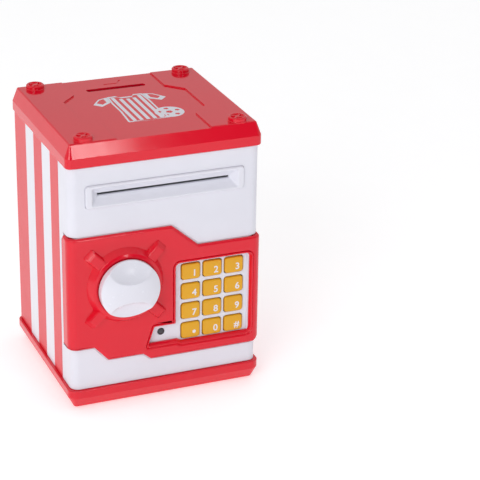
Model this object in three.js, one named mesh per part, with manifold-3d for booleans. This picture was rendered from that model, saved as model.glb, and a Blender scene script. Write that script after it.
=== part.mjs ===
// Toy safe coin bank: a striped case with a lid, a note feeder and a hinged keypad door.
// Millimetres, +Z up, the door faces -Y and the floor is at z = 0.
import * as THREE from "three";
import { mergeVertices } from "three/addons/utils/BufferGeometryUtils.js";
import Module from "manifold-3d";

const wasm = await Module();
wasm.setup();

// ---- Driving dimensions ---------------------------------------------------------------------
const CASE_WIDTH = 132.6; // outside of the side walls
const CASE_DEPTH = 122; // front frame's face to the back wall
const CASE_HEIGHT = 158.6; // between the base and the lid
const WALL = 2.2; // case walls
const GAP = 0.3; // between pieces that are seated on each other
const CLEAR = 0.4; // beside pieces that slide or turn

const FOOT_PROUD = 1; // how far the rubber feet stand below the base
const FOOT_RADIUS = 5;
const FOOT_INSET = 18; // foot centres, from the case's outside

const BASE_OVERHANG = 2; // base rim past the case
const BASE_RIM = 5.4; // upright part of the base
const BASE_FLARE = 8; // height of the sloped part below the rim
const BASE_TAPER = 4.2; // how far that slope runs in
const BASE_FLOOR = 2.4;

const LID_OVERHANG = 1.2;
const LID_RIM = 6.8;
const LID_SLOPE = 9.2;
const LID_TAPER = 3.5;
const LID_WALL = 2.2;
const LIP_WALL = 1.5; // locating lips of the lid and base, inside the case
const LIP_DEPTH = 4;
const LIP_CORNER = 3.6;
const STUD_RADIUS = 6.5;
const STUD_HEIGHT = 3;
const STUD_INSET = [13.4, 8.4]; // stud centres, from the case's outside
const PANEL_DEPTH = 0.9; // sunk field in the lid's top
const PANEL_NARROW = 32.5;
const PANEL_WIDE = 43.5;
const PANEL_WAIST = [18.5, 30]; // where the field's sides step out, front and back alike
const COIN_SLOT = { length: 42, width: 4.6, y: 37.5 };

const FRAME_DEPTH = 21; // how far the front frame wraps round the sides
const FRAME_CORNER = 6;
const NOTE_DROP = 21; // middle of the note slot, below the case's top
const NOTE_SLOT = { width: 91, height: 2.4 };
const NOTE_RECESS = { width: 101, height: 12, depth: 5.4 };
const NOTE_RIM = { width: 111, height: 16, proud: 1.2 };

const DOOR_PROUD = [1.7, 2]; // door past the case's sides and front
const DOOR_WALL = 2;
const DOOR_WRAP = 12.4; // how far the door's cheeks reach back from the case's front
const DOOR_GAP = 0.6; // round the door's outline
// Levels and steps of the door's outline, from left to right.
const DOOR = { leftBottom: 44.5, midBottom: 34, rightBottom: 29.6, leftTop: 124.5, rightTop: 108.4 };
const DOOR_BOTTOM_STEPS = [[-50.5, -41], [-16.5, -11]];
const DOOR_TOP_STEP = [4, 22.6];
const DOOR_CORNER = 3.4;
const COLUMN_SETBACK = 3.6; // frame columns behind the door's cheeks
const MOUTH_MARGIN = 4; // opening into the case, inside the door's outline
const MOUTH_RELIEF = 2.2; // behind the keypad plate, where the mouth reaches past the right column
const LINER_MARGIN = 8; // door liner, inside the door's outline
const LINER_DEPTH = 11.5; // back of the liner, from the back of the door's skin
const LINER_WALL = 1.5;

const HINGE_RADIUS = 2.2;
const HINGE_PIN_RADIUS = 1;
const KNUCKLE_HEIGHT = 8;
const KNUCKLES = [42, 96]; // middle heights of the frame's two knuckles

const KNOB_X = -29;
const KNOB_Z = 88;
const KNOB_RADIUS = 20.4;
const KNOB_LENGTH = 16; // knob's front, from the door's face
const KNOB_GRIP = 6.6; // half the grip's width at its waist
const KNOB_SCOOP = [27.4, 9]; // radius and depth of the scoops above and below the grip
const KNOB_BOSS = { base: 25.3, front: 22.6, height: 5 };
const LUG = { reach: 36, width: 8.5, proud: 3 };
const SPINDLE_RADIUS = 2.6;
const CRANK = { radius: 9, thickness: 2, throw: 4.2, pin: 1.2 };
const BOLT = { thickness: 2, height: 40, length: 34, tongue: 8, left: -43, reach: 0.8 };
const PLUNGER = { x: -19.5, radius: 1.2, length: 12, stroke: 4, gap: 1.5 };
const COIL = { width: 10, depth: 7, height: 15 };

const KEYPAD_DEPTH = 3.5; // keypad plate behind the door's face
const KEYPAD = { left: 7.5, right: 60, bottom: 38.8, top: 96 };
const LED_WING = { tip: -12.2, shoulder: -7.8, bottom: 40.4, top: 52 };
const LED = { x: -2.8, z: 47.2, radius: 2.4 };
const PLATE_WALL = 1.5;
const PLATE_MARGIN = 2; // keypad plate behind the window's edge
const BOARD_INSET = [1, 2.3]; // membrane and board inside the window: left, top and bottom; right
const KEY = { width: 13, height: 11.2, pitchX: 15.5, pitchZ: 14.5, x: 18.2, z: 45.2, proud: 1.4, travel: 1 };
const KEY_NAMES = [
  ["key_star", "key_0", "key_hash"],
  ["key_7", "key_8", "key_9"],
  ["key_4", "key_5", "key_6"],
  ["key_1", "key_2", "key_3"],
];

const ROLLER = { radius: 5, width: 12, x: 28, y: -42 };
const SHAFT_RADIUS = 1.5;
const FEEDER = { halfWidth: 49, cheek: 2, back: -20, below: 25, above: 11 }; // heights from the note slot
const GEAR = { module: 1, teeth: 18, pinion: 9, width: 3, mesh: 0.12 };
const MOTOR = { radius: 8, length: 25, angle: -50 };
const BOARD_DROP = 16; // main board, below the note slot

const CELL = { radius: 7.1, length: 49.5, gap: 0.6, under: 0.8 };
const BATTERY_BOX = { wall: 1.8, y: 5, side: 0.4, over: 1, ends: 4.25 };
const COVER_WALL = 1.9;
const COVER_PAD = 3.4; // thickening of the base's floor over the cover's tab
const SCREW_POST = { radius: 4.5, inset: [8.5, 8.5], height: 9 };
const SCREW = { head: 2.6, headHeight: 1.6, shank: 1.3 };
const SMALL_SCREW = { head: 2.4, headHeight: 0.8, shank: 0.8 };

// ---- Places worked out from them ------------------------------------------------------------
const HALF_W = CASE_WIDTH / 2;
const HALF_D = CASE_DEPTH / 2;
const BASE_TOP = FOOT_PROUD + BASE_RIM + BASE_FLARE;
const CASE_TOP = BASE_TOP + CASE_HEIGHT;
const LID_TOP = CASE_TOP + LID_RIM + LID_SLOPE;
const NOTE_Z = CASE_TOP - NOTE_DROP;
const FRONT = -HALF_D;
const DOOR_FACE = FRONT - DOOR_PROUD[1];
const DOOR_BACK = DOOR_FACE + DOOR_WALL;
const DOOR_SIDE = HALF_W + DOOR_PROUD[0];
const DOOR_END = FRONT + DOOR_WRAP;
const HINGE = [DOOR_SIDE - HINGE_RADIUS, DOOR_END - HINGE_RADIUS];
const COLUMN_X = HALF_W - COLUMN_SETBACK;
const LINER_BACK = DOOR_BACK + LINER_DEPTH;
const DISC_FRONT = DOOR_BACK + 0.7;
const DISC_BACK = DISC_FRONT + CRANK.thickness;
const BOLT_FRONT = DISC_BACK + 1.4;
const BOLT_BACK = BOLT_FRONT + BOLT.thickness;
const BOLT_MIDDLE = (BOLT_FRONT + BOLT_BACK) / 2;
const BOLT_BOTTOM = KNOB_Z - BOLT.height / 2;
// The crank pin is at 45 degrees right of upright at rest, and ends at 45 degrees left of it.
const PIN_OFFSET = CRANK.throw * Math.SQRT1_2;
const BOLT_TRAVEL = 2 * PIN_OFFSET;
const PLATE_FRONT = DOOR_FACE + KEYPAD_DEPTH + GAP;
const PLATE_BACK = PLATE_FRONT + PLATE_WALL;
const KEY_FLANGE = [PLATE_BACK + GAP, PLATE_BACK + GAP + 0.7];
const MEMBRANE_FRONT = KEY_FLANGE[1] + KEY.travel + GAP;
const SHAFT_Z = NOTE_Z - ROLLER.radius;
const IDLER_Z = NOTE_Z + ROLLER.radius + GAP;
const CENTRES = (GEAR.module * (GEAR.teeth + GEAR.pinion)) / 2 + GEAR.mesh;
const MOTOR_ANGLE = THREE.MathUtils.degToRad(MOTOR.angle);
const MOTOR_AT = [ROLLER.y + CENTRES * Math.cos(MOTOR_ANGLE), SHAFT_Z + CENTRES * Math.sin(MOTOR_ANGLE)];
const FEEDER_FRONT = FRONT + NOTE_RECESS.depth + GAP;
const FLOOR_TOP = FOOT_PROUD + BASE_FLOOR;
const POST_TOP = BASE_TOP + LIP_DEPTH;
const CELL_PITCH = 2 * CELL.radius + CELL.gap;
const BOX_HALF_X = CELL.length / 2 + BATTERY_BOX.ends;
const BOX_HALF_Y = 1.5 * CELL_PITCH + BATTERY_BOX.side;
const BOX_TOP = FLOOR_TOP + CELL.under + 2 * CELL.radius + BATTERY_BOX.over;
const PILOT = SCREW.shank + GAP;
const CELL_Z = FLOOR_TOP + CELL.under + CELL.radius;
// The case is set back so that the origin is under the middle of the whole object, knob included.
const CASE_BACK_EDGE = HALF_D + Math.max(LID_OVERHANG, BASE_OVERHANG);
const ORIGIN_SHIFT = (KNOB_LENGTH - DOOR_FACE - CASE_BACK_EDGE) / 2;

// ---- Materials ------------------------------------------------------------------------------
const plastic = (color, roughness = 0.35) =>
  new THREE.MeshStandardMaterial({ color, roughness, metalness: 0 });
const metal = (color, roughness = 0.3) => new THREE.MeshStandardMaterial({ color, roughness, metalness: 1 });
const RED = plastic(0xd8202f);
const WHITE = plastic(0xeeeef4, 0.4);
const AMBER = plastic(0xf0a400, 0.45);
const GREY = plastic(0x8d8f95, 0.5);
const DARK = plastic(0x2a2b2f, 0.7);
const RUBBER = plastic(0x232325, 0.9);
const BOARD = plastic(0x1d6b3a, 0.5);
const LENS = plastic(0x77767c, 0.15);
const STEEL = metal(0xb9bbbf);
const BRASS = metal(0xc9a24d);
const SLEEVE = plastic(0x3f6fb0, 0.4);

// ---- Shape helpers --------------------------------------------------------------------------
// A closed three.js geometry as a solid that can be cut and joined.
function solid(geometry) {
  const bare = geometry.clone();
  bare.deleteAttribute("normal");
  bare.deleteAttribute("uv");
  const merged = mergeVertices(bare, 1e-4);
  return new wasm.Manifold(
    new wasm.Mesh({
      numProp: 3,
      vertProperties: new Float32Array(merged.attributes.position.array),
      triVerts: new Uint32Array(merged.index.array),
    }),
  );
}

// A solid as a named three.js mesh.
function part(name, body, material) {
  const { numProp, numVert, vertProperties, triVerts } = body.getMesh();
  const points = new Float32Array(numVert * 3);
  for (let i = 0; i < numVert; i++) {
    points.set(vertProperties.subarray(i * numProp, i * numProp + 3), i * 3);
  }
  const geometry = new THREE.BufferGeometry();
  geometry.setAttribute("position", new THREE.BufferAttribute(points, 3));
  geometry.setIndex(new THREE.BufferAttribute(new Uint32Array(triVerts), 1));
  geometry.computeVertexNormals();
  const mesh = new THREE.Mesh(geometry, material);
  mesh.name = name;
  return mesh;
}

const join = (...bodies) => bodies.reduce((a, b) => a.add(b));
const cut = (body, ...tools) => tools.reduce((a, b) => a.subtract(b), body);

// A box between two corners, given as ranges along X, Y and Z.
function box([x0, x1], [y0, y1], [z0, z1]) {
  const geometry = new THREE.BoxGeometry(x1 - x0, y1 - y0, z1 - z0);
  return solid(geometry.translate((x0 + x1) / 2, (y0 + y1) / 2, (z0 + z1) / 2));
}

// A cylinder or cone along an axis, between two places on it, round a point of the other two axes.
function rod(axis, [from, to], [u, v], radius, segments = 20, endRadius = radius) {
  const geometry = new THREE.CylinderGeometry(endRadius, radius, to - from, segments);
  const middle = (from + to) / 2;
  if (axis === "x") geometry.rotateZ(-Math.PI / 2).translate(middle, u, v);
  if (axis === "y") geometry.translate(u, middle, v);
  if (axis === "z") geometry.rotateX(Math.PI / 2).translate(u, v, middle);
  return solid(geometry);
}

const shapeOf = (points) => new THREE.Shape(points.map(([x, y]) => new THREE.Vector2(x, y)));

// An outline in X and Y, raised from one height to another.
function upright(shape, [z0, z1], options = {}) {
  const settings = { depth: z1 - z0, bevelEnabled: false, curveSegments: 4, ...options };
  return solid(new THREE.ExtrudeGeometry(shape, settings).translate(0, 0, z0));
}

// An outline in X and Z, run from one depth to another.
function sunk(shape, [y0, y1], curveSegments = 4) {
  const geometry = new THREE.ExtrudeGeometry(shape, { depth: y1 - y0, bevelEnabled: false, curveSegments });
  return solid(geometry.rotateX(Math.PI / 2).translate(0, y1, 0));
}

// A rectangle with rounded corners, between two corners.
function rounded([x0, x1], [y0, y1], radius) {
  const shape = new THREE.Shape();
  shape.moveTo(x0 + radius, y0);
  shape.lineTo(x1 - radius, y0);
  shape.absarc(x1 - radius, y0 + radius, radius, -Math.PI / 2, 0);
  shape.lineTo(x1, y1 - radius);
  shape.absarc(x1 - radius, y1 - radius, radius, 0, Math.PI / 2);
  shape.lineTo(x0 + radius, y1);
  shape.absarc(x0 + radius, y1 - radius, radius, Math.PI / 2, Math.PI);
  shape.lineTo(x0, y0 + radius);
  shape.absarc(x0 + radius, y0 + radius, radius, Math.PI, 1.5 * Math.PI);
  return shape;
}

// A rounded block centred on the case, whose walls are a given distance outside it.
const block = (outset, radius, heights, options) =>
  upright(
    rounded([-HALF_W - outset, HALF_W + outset], [-HALF_D - outset, HALF_D + outset], radius),
    heights,
    options,
  );

// An upright block that tapers over both ends: the unwanted end is cut off by the caller.
function tapered(outset, radius, [z0, z1], height, taper) {
  const bevel = {
    bevelEnabled: true,
    bevelThickness: height,
    bevelSize: taper,
    bevelOffset: -taper,
    bevelSegments: 1,
  };
  return block(outset, radius, [z0, z1], bevel);
}

const everywhere = ([z0, z1]) => box([-200, 200], [-200, 200], [z0, z1]);
const corners = (x, y) => [[-x, -y], [x, -y], [x, y], [-x, y]];

// A spur gear's outline in its own plane, thinned so that it runs with backlash.
function gearShape(teeth, module, phase) {
  const pitch = (teeth * module) / 2;
  const base = pitch * Math.cos(THREE.MathUtils.degToRad(20));
  const involute = (r) => {
    const a = Math.acos(Math.min(1, base / r));
    return Math.tan(a) - a;
  };
  const halfTooth = (r) => (0.8 * Math.PI) / (2 * teeth) + involute(pitch) - involute(r);
  const flank = [pitch - 1.2 * module, pitch - 0.5 * module, pitch, pitch + 0.8 * module];
  const points = [];
  for (let i = 0; i < teeth; i++) {
    const middle = phase + (i * 2 * Math.PI) / teeth;
    for (const r of flank) points.push([r, middle - halfTooth(Math.max(r, base))]);
    for (const r of [...flank].reverse()) points.push([r, middle + halfTooth(Math.max(r, base))]);
  }
  return shapeOf(points.map(([r, a]) => [r * Math.cos(a), r * Math.sin(a)]));
}

// A gear on an axis along X. Its outline's first axis lies along Y and its second along Z.
function gear(teeth, [x0, x1], [y, z], phase) {
  const settings = { depth: x1 - x0, bevelEnabled: false };
  const geometry = new THREE.ExtrudeGeometry(gearShape(teeth, GEAR.module, phase), settings);
  const basis = new THREE.Matrix4().makeBasis(
    new THREE.Vector3(0, 1, 0),
    new THREE.Vector3(0, 0, 1),
    new THREE.Vector3(1, 0, 0),
  );
  return solid(geometry.applyMatrix4(basis).translate(x0, y, z));
}

// A countersunk-looking screw along Z, head down, or along Y, head back.
function screw(axis, head, tip, at, size = SCREW) {
  const inward = Math.sign(tip - head);
  const neck = head + inward * size.headHeight;
  const order = (a, b) => [Math.min(a, b), Math.max(a, b)];
  const cross = size.head * 0.7;
  const slotDepth = order(head, head + inward * 0.7);
  const reach = [-cross, cross];
  const thin = [-0.35, 0.35];
  const [u, v] = at;
  const shifted = ([a, b], c) => [a + c, b + c];
  const slots = [[reach, thin], [thin, reach]].map(([a, b]) =>
    axis === "z"
      ? box(shifted(a, u), shifted(b, v), slotDepth)
      : box(shifted(a, u), slotDepth, shifted(b, v)),
  );
  return cut(
    join(
      rod(axis, order(head, neck), at, size.head, 12),
      rod(axis, order(neck - inward * 0.1, tip), at, size.shank, 8),
    ),
    ...slots,
  );
}

// ---- Door outline ---------------------------------------------------------------------------
// The stepped outline of the door in X and Z, moved in by a margin (or out, if negative).
function doorOutline(margin, side = DOOR_SIDE) {
  const [[a, b], [c, d]] = DOOR_BOTTOM_STEPS;
  const slant = margin * 0.41;
  const right = side - margin;
  const bottom = (z) => z + margin;
  const corner = Math.max(DOOR_CORNER - margin * 0.59, 0.2);
  return shapeOf([
    [-right, bottom(DOOR.leftBottom)],
    [a + slant, bottom(DOOR.leftBottom)],
    [b + slant, bottom(DOOR.midBottom)],
    [c + slant, bottom(DOOR.midBottom)],
    [d + slant, bottom(DOOR.rightBottom)],
    [right - corner, bottom(DOOR.rightBottom)],
    [right, bottom(DOOR.rightBottom) + corner],
    [right, DOOR.rightTop - margin],
    [DOOR_TOP_STEP[1] - slant, DOOR.rightTop - margin],
    [DOOR_TOP_STEP[0] - slant, DOOR.leftTop - margin],
    [-right, DOOR.leftTop - margin],
  ]);
}

// The keypad window: a rectangle with a wing for the status light.
function keypadOutline(margin) {
  const { left, right, bottom, top } = KEYPAD;
  return shapeOf([
    [LED_WING.tip - margin, LED_WING.bottom - margin],
    [left + 1 - margin, LED_WING.bottom - margin],
    [left + 4 - margin, bottom - margin],
    [right + margin, bottom - margin],
    [right + margin, top + margin],
    [left - margin, top + margin],
    [left - margin, LED_WING.top + margin],
    [LED_WING.shoulder - margin, LED_WING.top + margin],
  ]);
}

const keyPlaces = KEY_NAMES.flatMap((row, j) =>
  row.map((name, i) => ({ name, x: KEY.x + i * KEY.pitchX, z: KEY.z + j * KEY.pitchZ })),
);

// A key-sized block: a rounded rectangle in X and Z, grown by a margin.
function keyBlock({ x, z }, margin, depths, radius = 1.8) {
  const w = KEY.width / 2 + margin;
  const h = KEY.height / 2 + margin;
  return sunk(rounded([x - w, x + w], [z - h, z + h], radius), depths, 2);
}

// ---- Case -----------------------------------------------------------------------------------
const postAt = [HALF_W - SCREW_POST.inset[0], HALF_D - SCREW_POST.inset[1]];

// A screw post with its pilot hole, tied to the side wall by a rib.
function screwPost([x, y], top) {
  const foot = POST_TOP + GAP;
  const wall = Math.sign(x) * (HALF_W - WALL / 2);
  const rib = box([Math.min(x, wall), Math.max(x, wall)], [y - 1.2, y + 1.2], [foot, top]);
  return { body: join(rod("z", [foot, top], [x, y], SCREW_POST.radius, 16), rib), hole: [x, y] };
}

function bodyShell() {
  const heights = [BASE_TOP + GAP, CASE_TOP - GAP];
  const front = FRONT + FRAME_DEPTH + GAP;
  const walls = cut(
    block(0, 2.5, heights),
    block(-WALL, 0.8, [0, 300]),
    box([-200, 200], [-200, front], [0, 300]),
  );
  const posts = corners(...postAt).slice(2).map((at) => screwPost(at, POST_TOP + SCREW_POST.height));
  const pilots = posts.map(({ hole }) => rod("z", [0, 60], hole, PILOT, 10));
  return cut(join(walls, ...posts.map(({ body }) => body)), ...pilots);
}

function baseTray() {
  const rim = [FOOT_PROUD + BASE_FLARE, BASE_TOP];
  const outer = cut(tapered(BASE_OVERHANG, 6, rim, BASE_FLARE, BASE_TAPER), everywhere([BASE_TOP, 300]));
  const lipOut = -WALL - CLEAR;
  const cavity = block(lipOut - LIP_WALL, LIP_CORNER - LIP_WALL, [FLOOR_TOP, 300]);
  const lip = cut(block(lipOut, LIP_CORNER, [BASE_TOP - 1, POST_TOP - 0.2]), cavity);
  const { wall, y } = BATTERY_BOX;
  const boxed = (m, heights) =>
    box([-BOX_HALF_X - m, BOX_HALF_X + m], [y - BOX_HALF_Y - m, y + BOX_HALF_Y + m], heights);
  const postHeights = [FLOOR_TOP - 0.2, POST_TOP];
  const posts = corners(...postAt).map((at) => rod("z", postHeights, at, SCREW_POST.radius, 16));
  const screwHoles = corners(...postAt).flatMap((at) => [
    rod("z", [0, 60], at, SCREW.shank + GAP, 12),
    rod("z", [0, FOOT_PROUD + 5], at, SCREW.head + GAP, 16),
  ]);
  const footSeats = footPlaces.map((at) => rod("z", [0, FOOT_PROUD + 1.4], at, FOOT_RADIUS + GAP, 14));
  const padHeights = [FLOOR_TOP - 0.2, FLOOR_TOP + COVER_PAD];
  const coverPad = box([-9, 9], [coverScrewAt[1] - 7, y - BOX_HALF_Y], padHeights);
  const coverPost = rod("z", [FLOOR_TOP, FLOOR_TOP + 8], coverScrewAt, 5, 16);
  const seatHeights = [0, FOOT_PROUD + COVER_WALL + GAP];
  const coverSeat = box([-7, 7], [coverScrewAt[1] - 5, y - BOX_HALF_Y + 1], seatHeights);
  return cut(
    join(
      cut(outer, cavity),
      lip,
      boxed(wall, [FLOOR_TOP - 0.2, BOX_TOP + wall]),
      coverPad,
      coverPost,
      ...posts,
    ),
    boxed(0, [0, BOX_TOP]),
    coverSeat,
    rod("z", [0, FLOOR_TOP + 6], coverScrewAt, SMALL_SCREW.shank + GAP, 10),
    ...screwHoles,
    ...footSeats,
    ...speakerSlots,
  );
}

const footPlaces = corners(HALF_W - FOOT_INSET, HALF_D - FOOT_INSET);
const coverScrewAt = [0, BATTERY_BOX.y - BOX_HALF_Y - 8];
const SPEAKER_AT = [45.5, 0];
const speakerSlots = [-6, -2, 2, 6].map((dx) =>
  box([SPEAKER_AT[0] + dx - 0.7, SPEAKER_AT[0] + dx + 0.7], [-7, 7], [0, FLOOR_TOP + 1]),
);

// The field in the lid's top: narrow at the front and back edges, wide across the middle.
function lidField() {
  const end = HALF_D + LID_OVERHANG + 1;
  const [near, far] = PANEL_WAIST;
  const half = [[PANEL_NARROW, -end], [PANEL_NARROW, -far], [PANEL_WIDE, -near], [PANEL_WIDE, near]];
  const right = [...half, [PANEL_NARROW, far], [PANEL_NARROW, end]];
  return shapeOf([...right, ...right.map(([x, y]) => [-x, y]).reverse()]);
}

function lid() {
  const rim = [CASE_TOP, CASE_TOP + LID_RIM];
  const outer = cut(tapered(LID_OVERHANG, 5, rim, LID_SLOPE, LID_TAPER), everywhere([0, CASE_TOP]));
  const innerRim = [CASE_TOP - 20, CASE_TOP + LID_RIM - 1];
  const inner = tapered(LID_OVERHANG - LID_WALL, 4.5, innerRim, LID_SLOPE - 1, LID_TAPER);
  const lipOut = -WALL - CLEAR;
  const lip = cut(
    block(lipOut, LIP_CORNER, [CASE_TOP - LIP_DEPTH, LID_TOP - LID_WALL]),
    block(lipOut - LIP_WALL, LIP_CORNER - LIP_WALL, [0, 300]),
  );
  const studs = corners(HALF_W - STUD_INSET[0], HALF_D - STUD_INSET[1]).map((at) =>
    join(
      rod("z", [LID_TOP - 0.5, LID_TOP + STUD_HEIGHT - 0.8], at, STUD_RADIUS, 16),
      rod("z", [LID_TOP + STUD_HEIGHT - 0.8, LID_TOP + STUD_HEIGHT], at, STUD_RADIUS, 16, STUD_RADIUS - 1),
    ),
  );
  const { length, width, y } = COIN_SLOT;
  return cut(
    join(cut(outer, inner), lip, ...studs),
    upright(lidField(), [LID_TOP - PANEL_DEPTH, LID_TOP + 1]),
    upright(rounded([-length / 2, length / 2], [y - width / 2, y + width / 2], 1.2), [CASE_TOP, 300]),
  );
}

// ---- Front frame ----------------------------------------------------------------------------
function frontFrame() {
  const heights = [BASE_TOP + GAP, CASE_TOP - GAP];
  const back = FRONT + FRAME_DEPTH;
  const outer = cut(block(0, FRAME_CORNER, heights), box([-200, 200], [back, 200], [0, 300]));
  const column = upright(
    rounded([-COLUMN_X, COLUMN_X], [DOOR_BACK + CLEAR, back], FRAME_CORNER - 2),
    [0, 300],
  );
  const doorSeat = cut(sunk(doorOutline(-DOOR_GAP), [FRONT - 20, DOOR_END + CLEAR]), column);
  const throat = upright(
    rounded([-COLUMN_X + WALL, COLUMN_X - WALL], [FRONT + WALL + CLEAR, back + 10], FRAME_CORNER - 2.5),
    [0, 300],
  );
  const { width, height, proud } = NOTE_RIM;
  const rim = sunk(
    rounded([-width / 2, width / 2], [NOTE_Z - height / 2, NOTE_Z + height / 2], 2.5),
    [FRONT - proud, FRONT + NOTE_RECESS.depth],
  );
  const knuckles = KNUCKLES.map((z) => {
    const span = [z - KNUCKLE_HEIGHT / 2 + CLEAR, z + KNUCKLE_HEIGHT / 2 - CLEAR];
    const web = box([COLUMN_X - 1, HINGE[0]], [HINGE[1] - 1.4, HINGE[1] + 1.4], span);
    return join(rod("z", span, HINGE, HINGE_RADIUS, 16), web);
  });
  const posts = corners(...postAt).slice(0, 2).map((at) => screwPost(at, DOOR.rightBottom - 2 * DOOR_GAP));
  const lipRooms = [[0, POST_TOP + GAP], [CASE_TOP - LIP_DEPTH - GAP, 300]].map((span) =>
    block(-WALL, FRAME_CORNER - WALL, span),
  );
  const keypadRelief = box(
    [COLUMN_X - 10, 200],
    [FRONT - 20, PLATE_BACK + MOUTH_RELIEF],
    [KEYPAD.bottom - PLATE_MARGIN - 1, KEYPAD.top + PLATE_MARGIN + 1],
  );
  const strikes = tongueRooms([-HALF_W, -COLUMN_X + 2 * WALL]);
  return cut(
    join(cut(outer, doorSeat, throat), rim, ...knuckles, ...posts.map(({ body }) => body)),
    keypadRelief,
    ...strikes,
    ...lipRooms,
    sunk(doorOutline(MOUTH_MARGIN, DOOR_SIDE - MOUTH_MARGIN), [FRONT - 20, back]),
    noteFunnel(),
    box([-NOTE_SLOT.width / 2, NOTE_SLOT.width / 2], [FRONT - 5, back], noteSlotHeights),
    rod("z", [0, 120], HINGE, HINGE_PIN_RADIUS + GAP, 12),
    ...posts.map(({ hole }) => rod("z", [0, 40], hole, PILOT, 10)),
  );
}

const noteSlotHeights = [NOTE_Z - NOTE_SLOT.height / 2, NOTE_Z + NOTE_SLOT.height / 2];

// The funnel that leads a note into the slot: a four-sided frustum lying along Y.
function noteFunnel() {
  const { width, height, depth } = NOTE_RECESS;
  const run = depth + NOTE_RIM.proud;
  const mouth = Math.SQRT1_2;
  const shrink = 1 - (height - NOTE_SLOT.height) / height;
  const geometry = new THREE.CylinderGeometry(shrink, 1, run, 4, 1).rotateY(Math.PI / 4);
  geometry.scale(mouth * width, 1, mouth * height);
  return solid(geometry.translate(0, FRONT - NOTE_RIM.proud + run / 2 - 0.6, NOTE_Z));
}

// ---- Door -----------------------------------------------------------------------------------
function doorPanel() {
  const outer = upright(rounded([-DOOR_SIDE, DOOR_SIDE], [DOOR_FACE, HALF_D], FRAME_CORNER), [0, 200]);
  const inside = DOOR_SIDE - DOOR_WALL;
  const inner = upright(rounded([-inside, inside], [DOOR_BACK, HALF_D + 5], FRAME_CORNER - 2), [-1, 201]);
  const skin = sunk(doorOutline(0), [DOOR_FACE - 1, DOOR_END]).intersect(cut(outer, inner));
  const barrelSpan = [DOOR.rightBottom + DOOR_CORNER, DOOR.rightTop];
  const barrel = rod("z", barrelSpan, HINGE, HINGE_RADIUS, 16);
  const cheekEnd = box([inside - 1, DOOR_SIDE + 1], [HINGE[1], DOOR_END + 1], [0, 200]);
  const notches = KNUCKLES.map((z) =>
    box(
      [inside - 5, DOOR_SIDE + 1],
      [HINGE[1] - HINGE_RADIUS - CLEAR, DOOR_END + 1],
      [z - KNUCKLE_HEIGHT / 2, z + KNUCKLE_HEIGHT / 2],
    ),
  );
  const at = [KNOB_X, KNOB_Z];
  const bossReach = [DOOR_FACE - KNOB_BOSS.height, DOOR_FACE + 0.5];
  const boss = rod("y", bossReach, at, KNOB_BOSS.front, 40, KNOB_BOSS.base);
  const collar = sunk(keypadOutline(PLATE_MARGIN), [DOOR_BACK - 0.2, DOOR_FACE + KEYPAD_DEPTH]);
  const postSpan = [DOOR_BACK - 0.2, LINER_BACK - LINER_WALL - GAP];
  const posts = linerScrews.map((post) => rod("y", postSpan, post, 3.4, 14));
  const pilots = linerScrews.map((post) => rod("y", [LINER_BACK - 8, LINER_BACK], post, PILOT, 10));
  return cut(
    join(cut(skin, cheekEnd), barrel, boss, ...doorLugs(), collar, ...posts),
    ...pilots,
    sunk(keypadOutline(0), [DOOR_FACE - 5, 0]),
    rod("y", [DOOR_FACE - 20, 0], at, SPINDLE_RADIUS + CLEAR, 20),
    rod("y", [DOOR_FACE + 1 - KNOB_BOSS.height, 0], at, SPINDLE_RADIUS + 5, 20),
    rod("z", [0, 200], HINGE, HINGE_PIN_RADIUS + GAP, 12),
    ...notches,
  );
}

// Four lugs that radiate from the knob's boss, between the axes.
function doorLugs() {
  const { reach, width, proud } = LUG;
  return [45, 135, 225, 315].map((angle) => {
    const geometry = new THREE.BoxGeometry(reach - 15, proud + 0.5, width);
    geometry.translate((reach + 15) / 2, DOOR_FACE + 0.5 - (proud + 0.5) / 2, 0);
    geometry.rotateY(THREE.MathUtils.degToRad(angle));
    return solid(geometry.translate(KNOB_X, 0, KNOB_Z));
  });
}

function doorLiner() {
  const front = DOOR_BACK + GAP;
  const side = DOOR_SIDE - LINER_MARGIN + 1.5;
  const tray = cut(
    sunk(doorOutline(LINER_MARGIN, side), [front, LINER_BACK]),
    sunk(doorOutline(LINER_MARGIN + LINER_WALL, side), [front - 1, LINER_BACK - LINER_WALL]),
  );
  const collarCut = sunk(keypadOutline(PLATE_MARGIN + GAP), [front - 1, MEMBRANE_FRONT + 3]);
  const tongueCuts = tongueRooms([-DOOR_SIDE, BOLT.left]);
  const rails = [-1, 1].map((s) => {
    const edge = KNOB_Z + s * (BOLT.height / 2 + CLEAR + 0.8);
    return box([BOLT.left - 1, PLUNGER.x - 3], [BOLT_FRONT, LINER_BACK - 0.5], [edge - 0.8, edge + 0.8]);
  });
  const holeReach = [LINER_BACK - 6, LINER_BACK + 1];
  const holes = linerScrews.map((at) => rod("y", holeReach, at, SCREW.shank + GAP, 12));
  return cut(join(tray, ...rails), collarCut, ...tongueCuts, ...holes);
}

const tongueHeights = [-1, 1].map((s) => KNOB_Z + (s * (BOLT.height - BOLT.tongue)) / 2);

// The room that both of the bolt's tongues slide in, over a range of X.
function tongueRooms(span) {
  const depths = [BOLT_FRONT - CLEAR, BOLT_BACK + CLEAR];
  const half = BOLT.tongue / 2 + CLEAR;
  return tongueHeights.map((z) => box(span, depths, [z - half, z + half]));
}

const linerScrews = [[-2, 100], [-36, 52]];

function keypadPlate() {
  const holes = keyPlaces.map((place) => keyBlock(place, CLEAR, [PLATE_FRONT - 1, PLATE_BACK + 1]));
  const ledHole = rod("y", [PLATE_FRONT - 1, PLATE_BACK + 1], [LED.x, LED.z], LED.radius + GAP, 20);
  return cut(sunk(keypadOutline(PLATE_MARGIN), [PLATE_FRONT, PLATE_BACK]), ...holes, ledHole);
}

function key(place) {
  const cap = keyBlock(place, 0, [PLATE_FRONT - KEY.proud, KEY_FLANGE[1]]);
  return join(cap, keyBlock(place, 0.9, KEY_FLANGE, 1));
}

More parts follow.
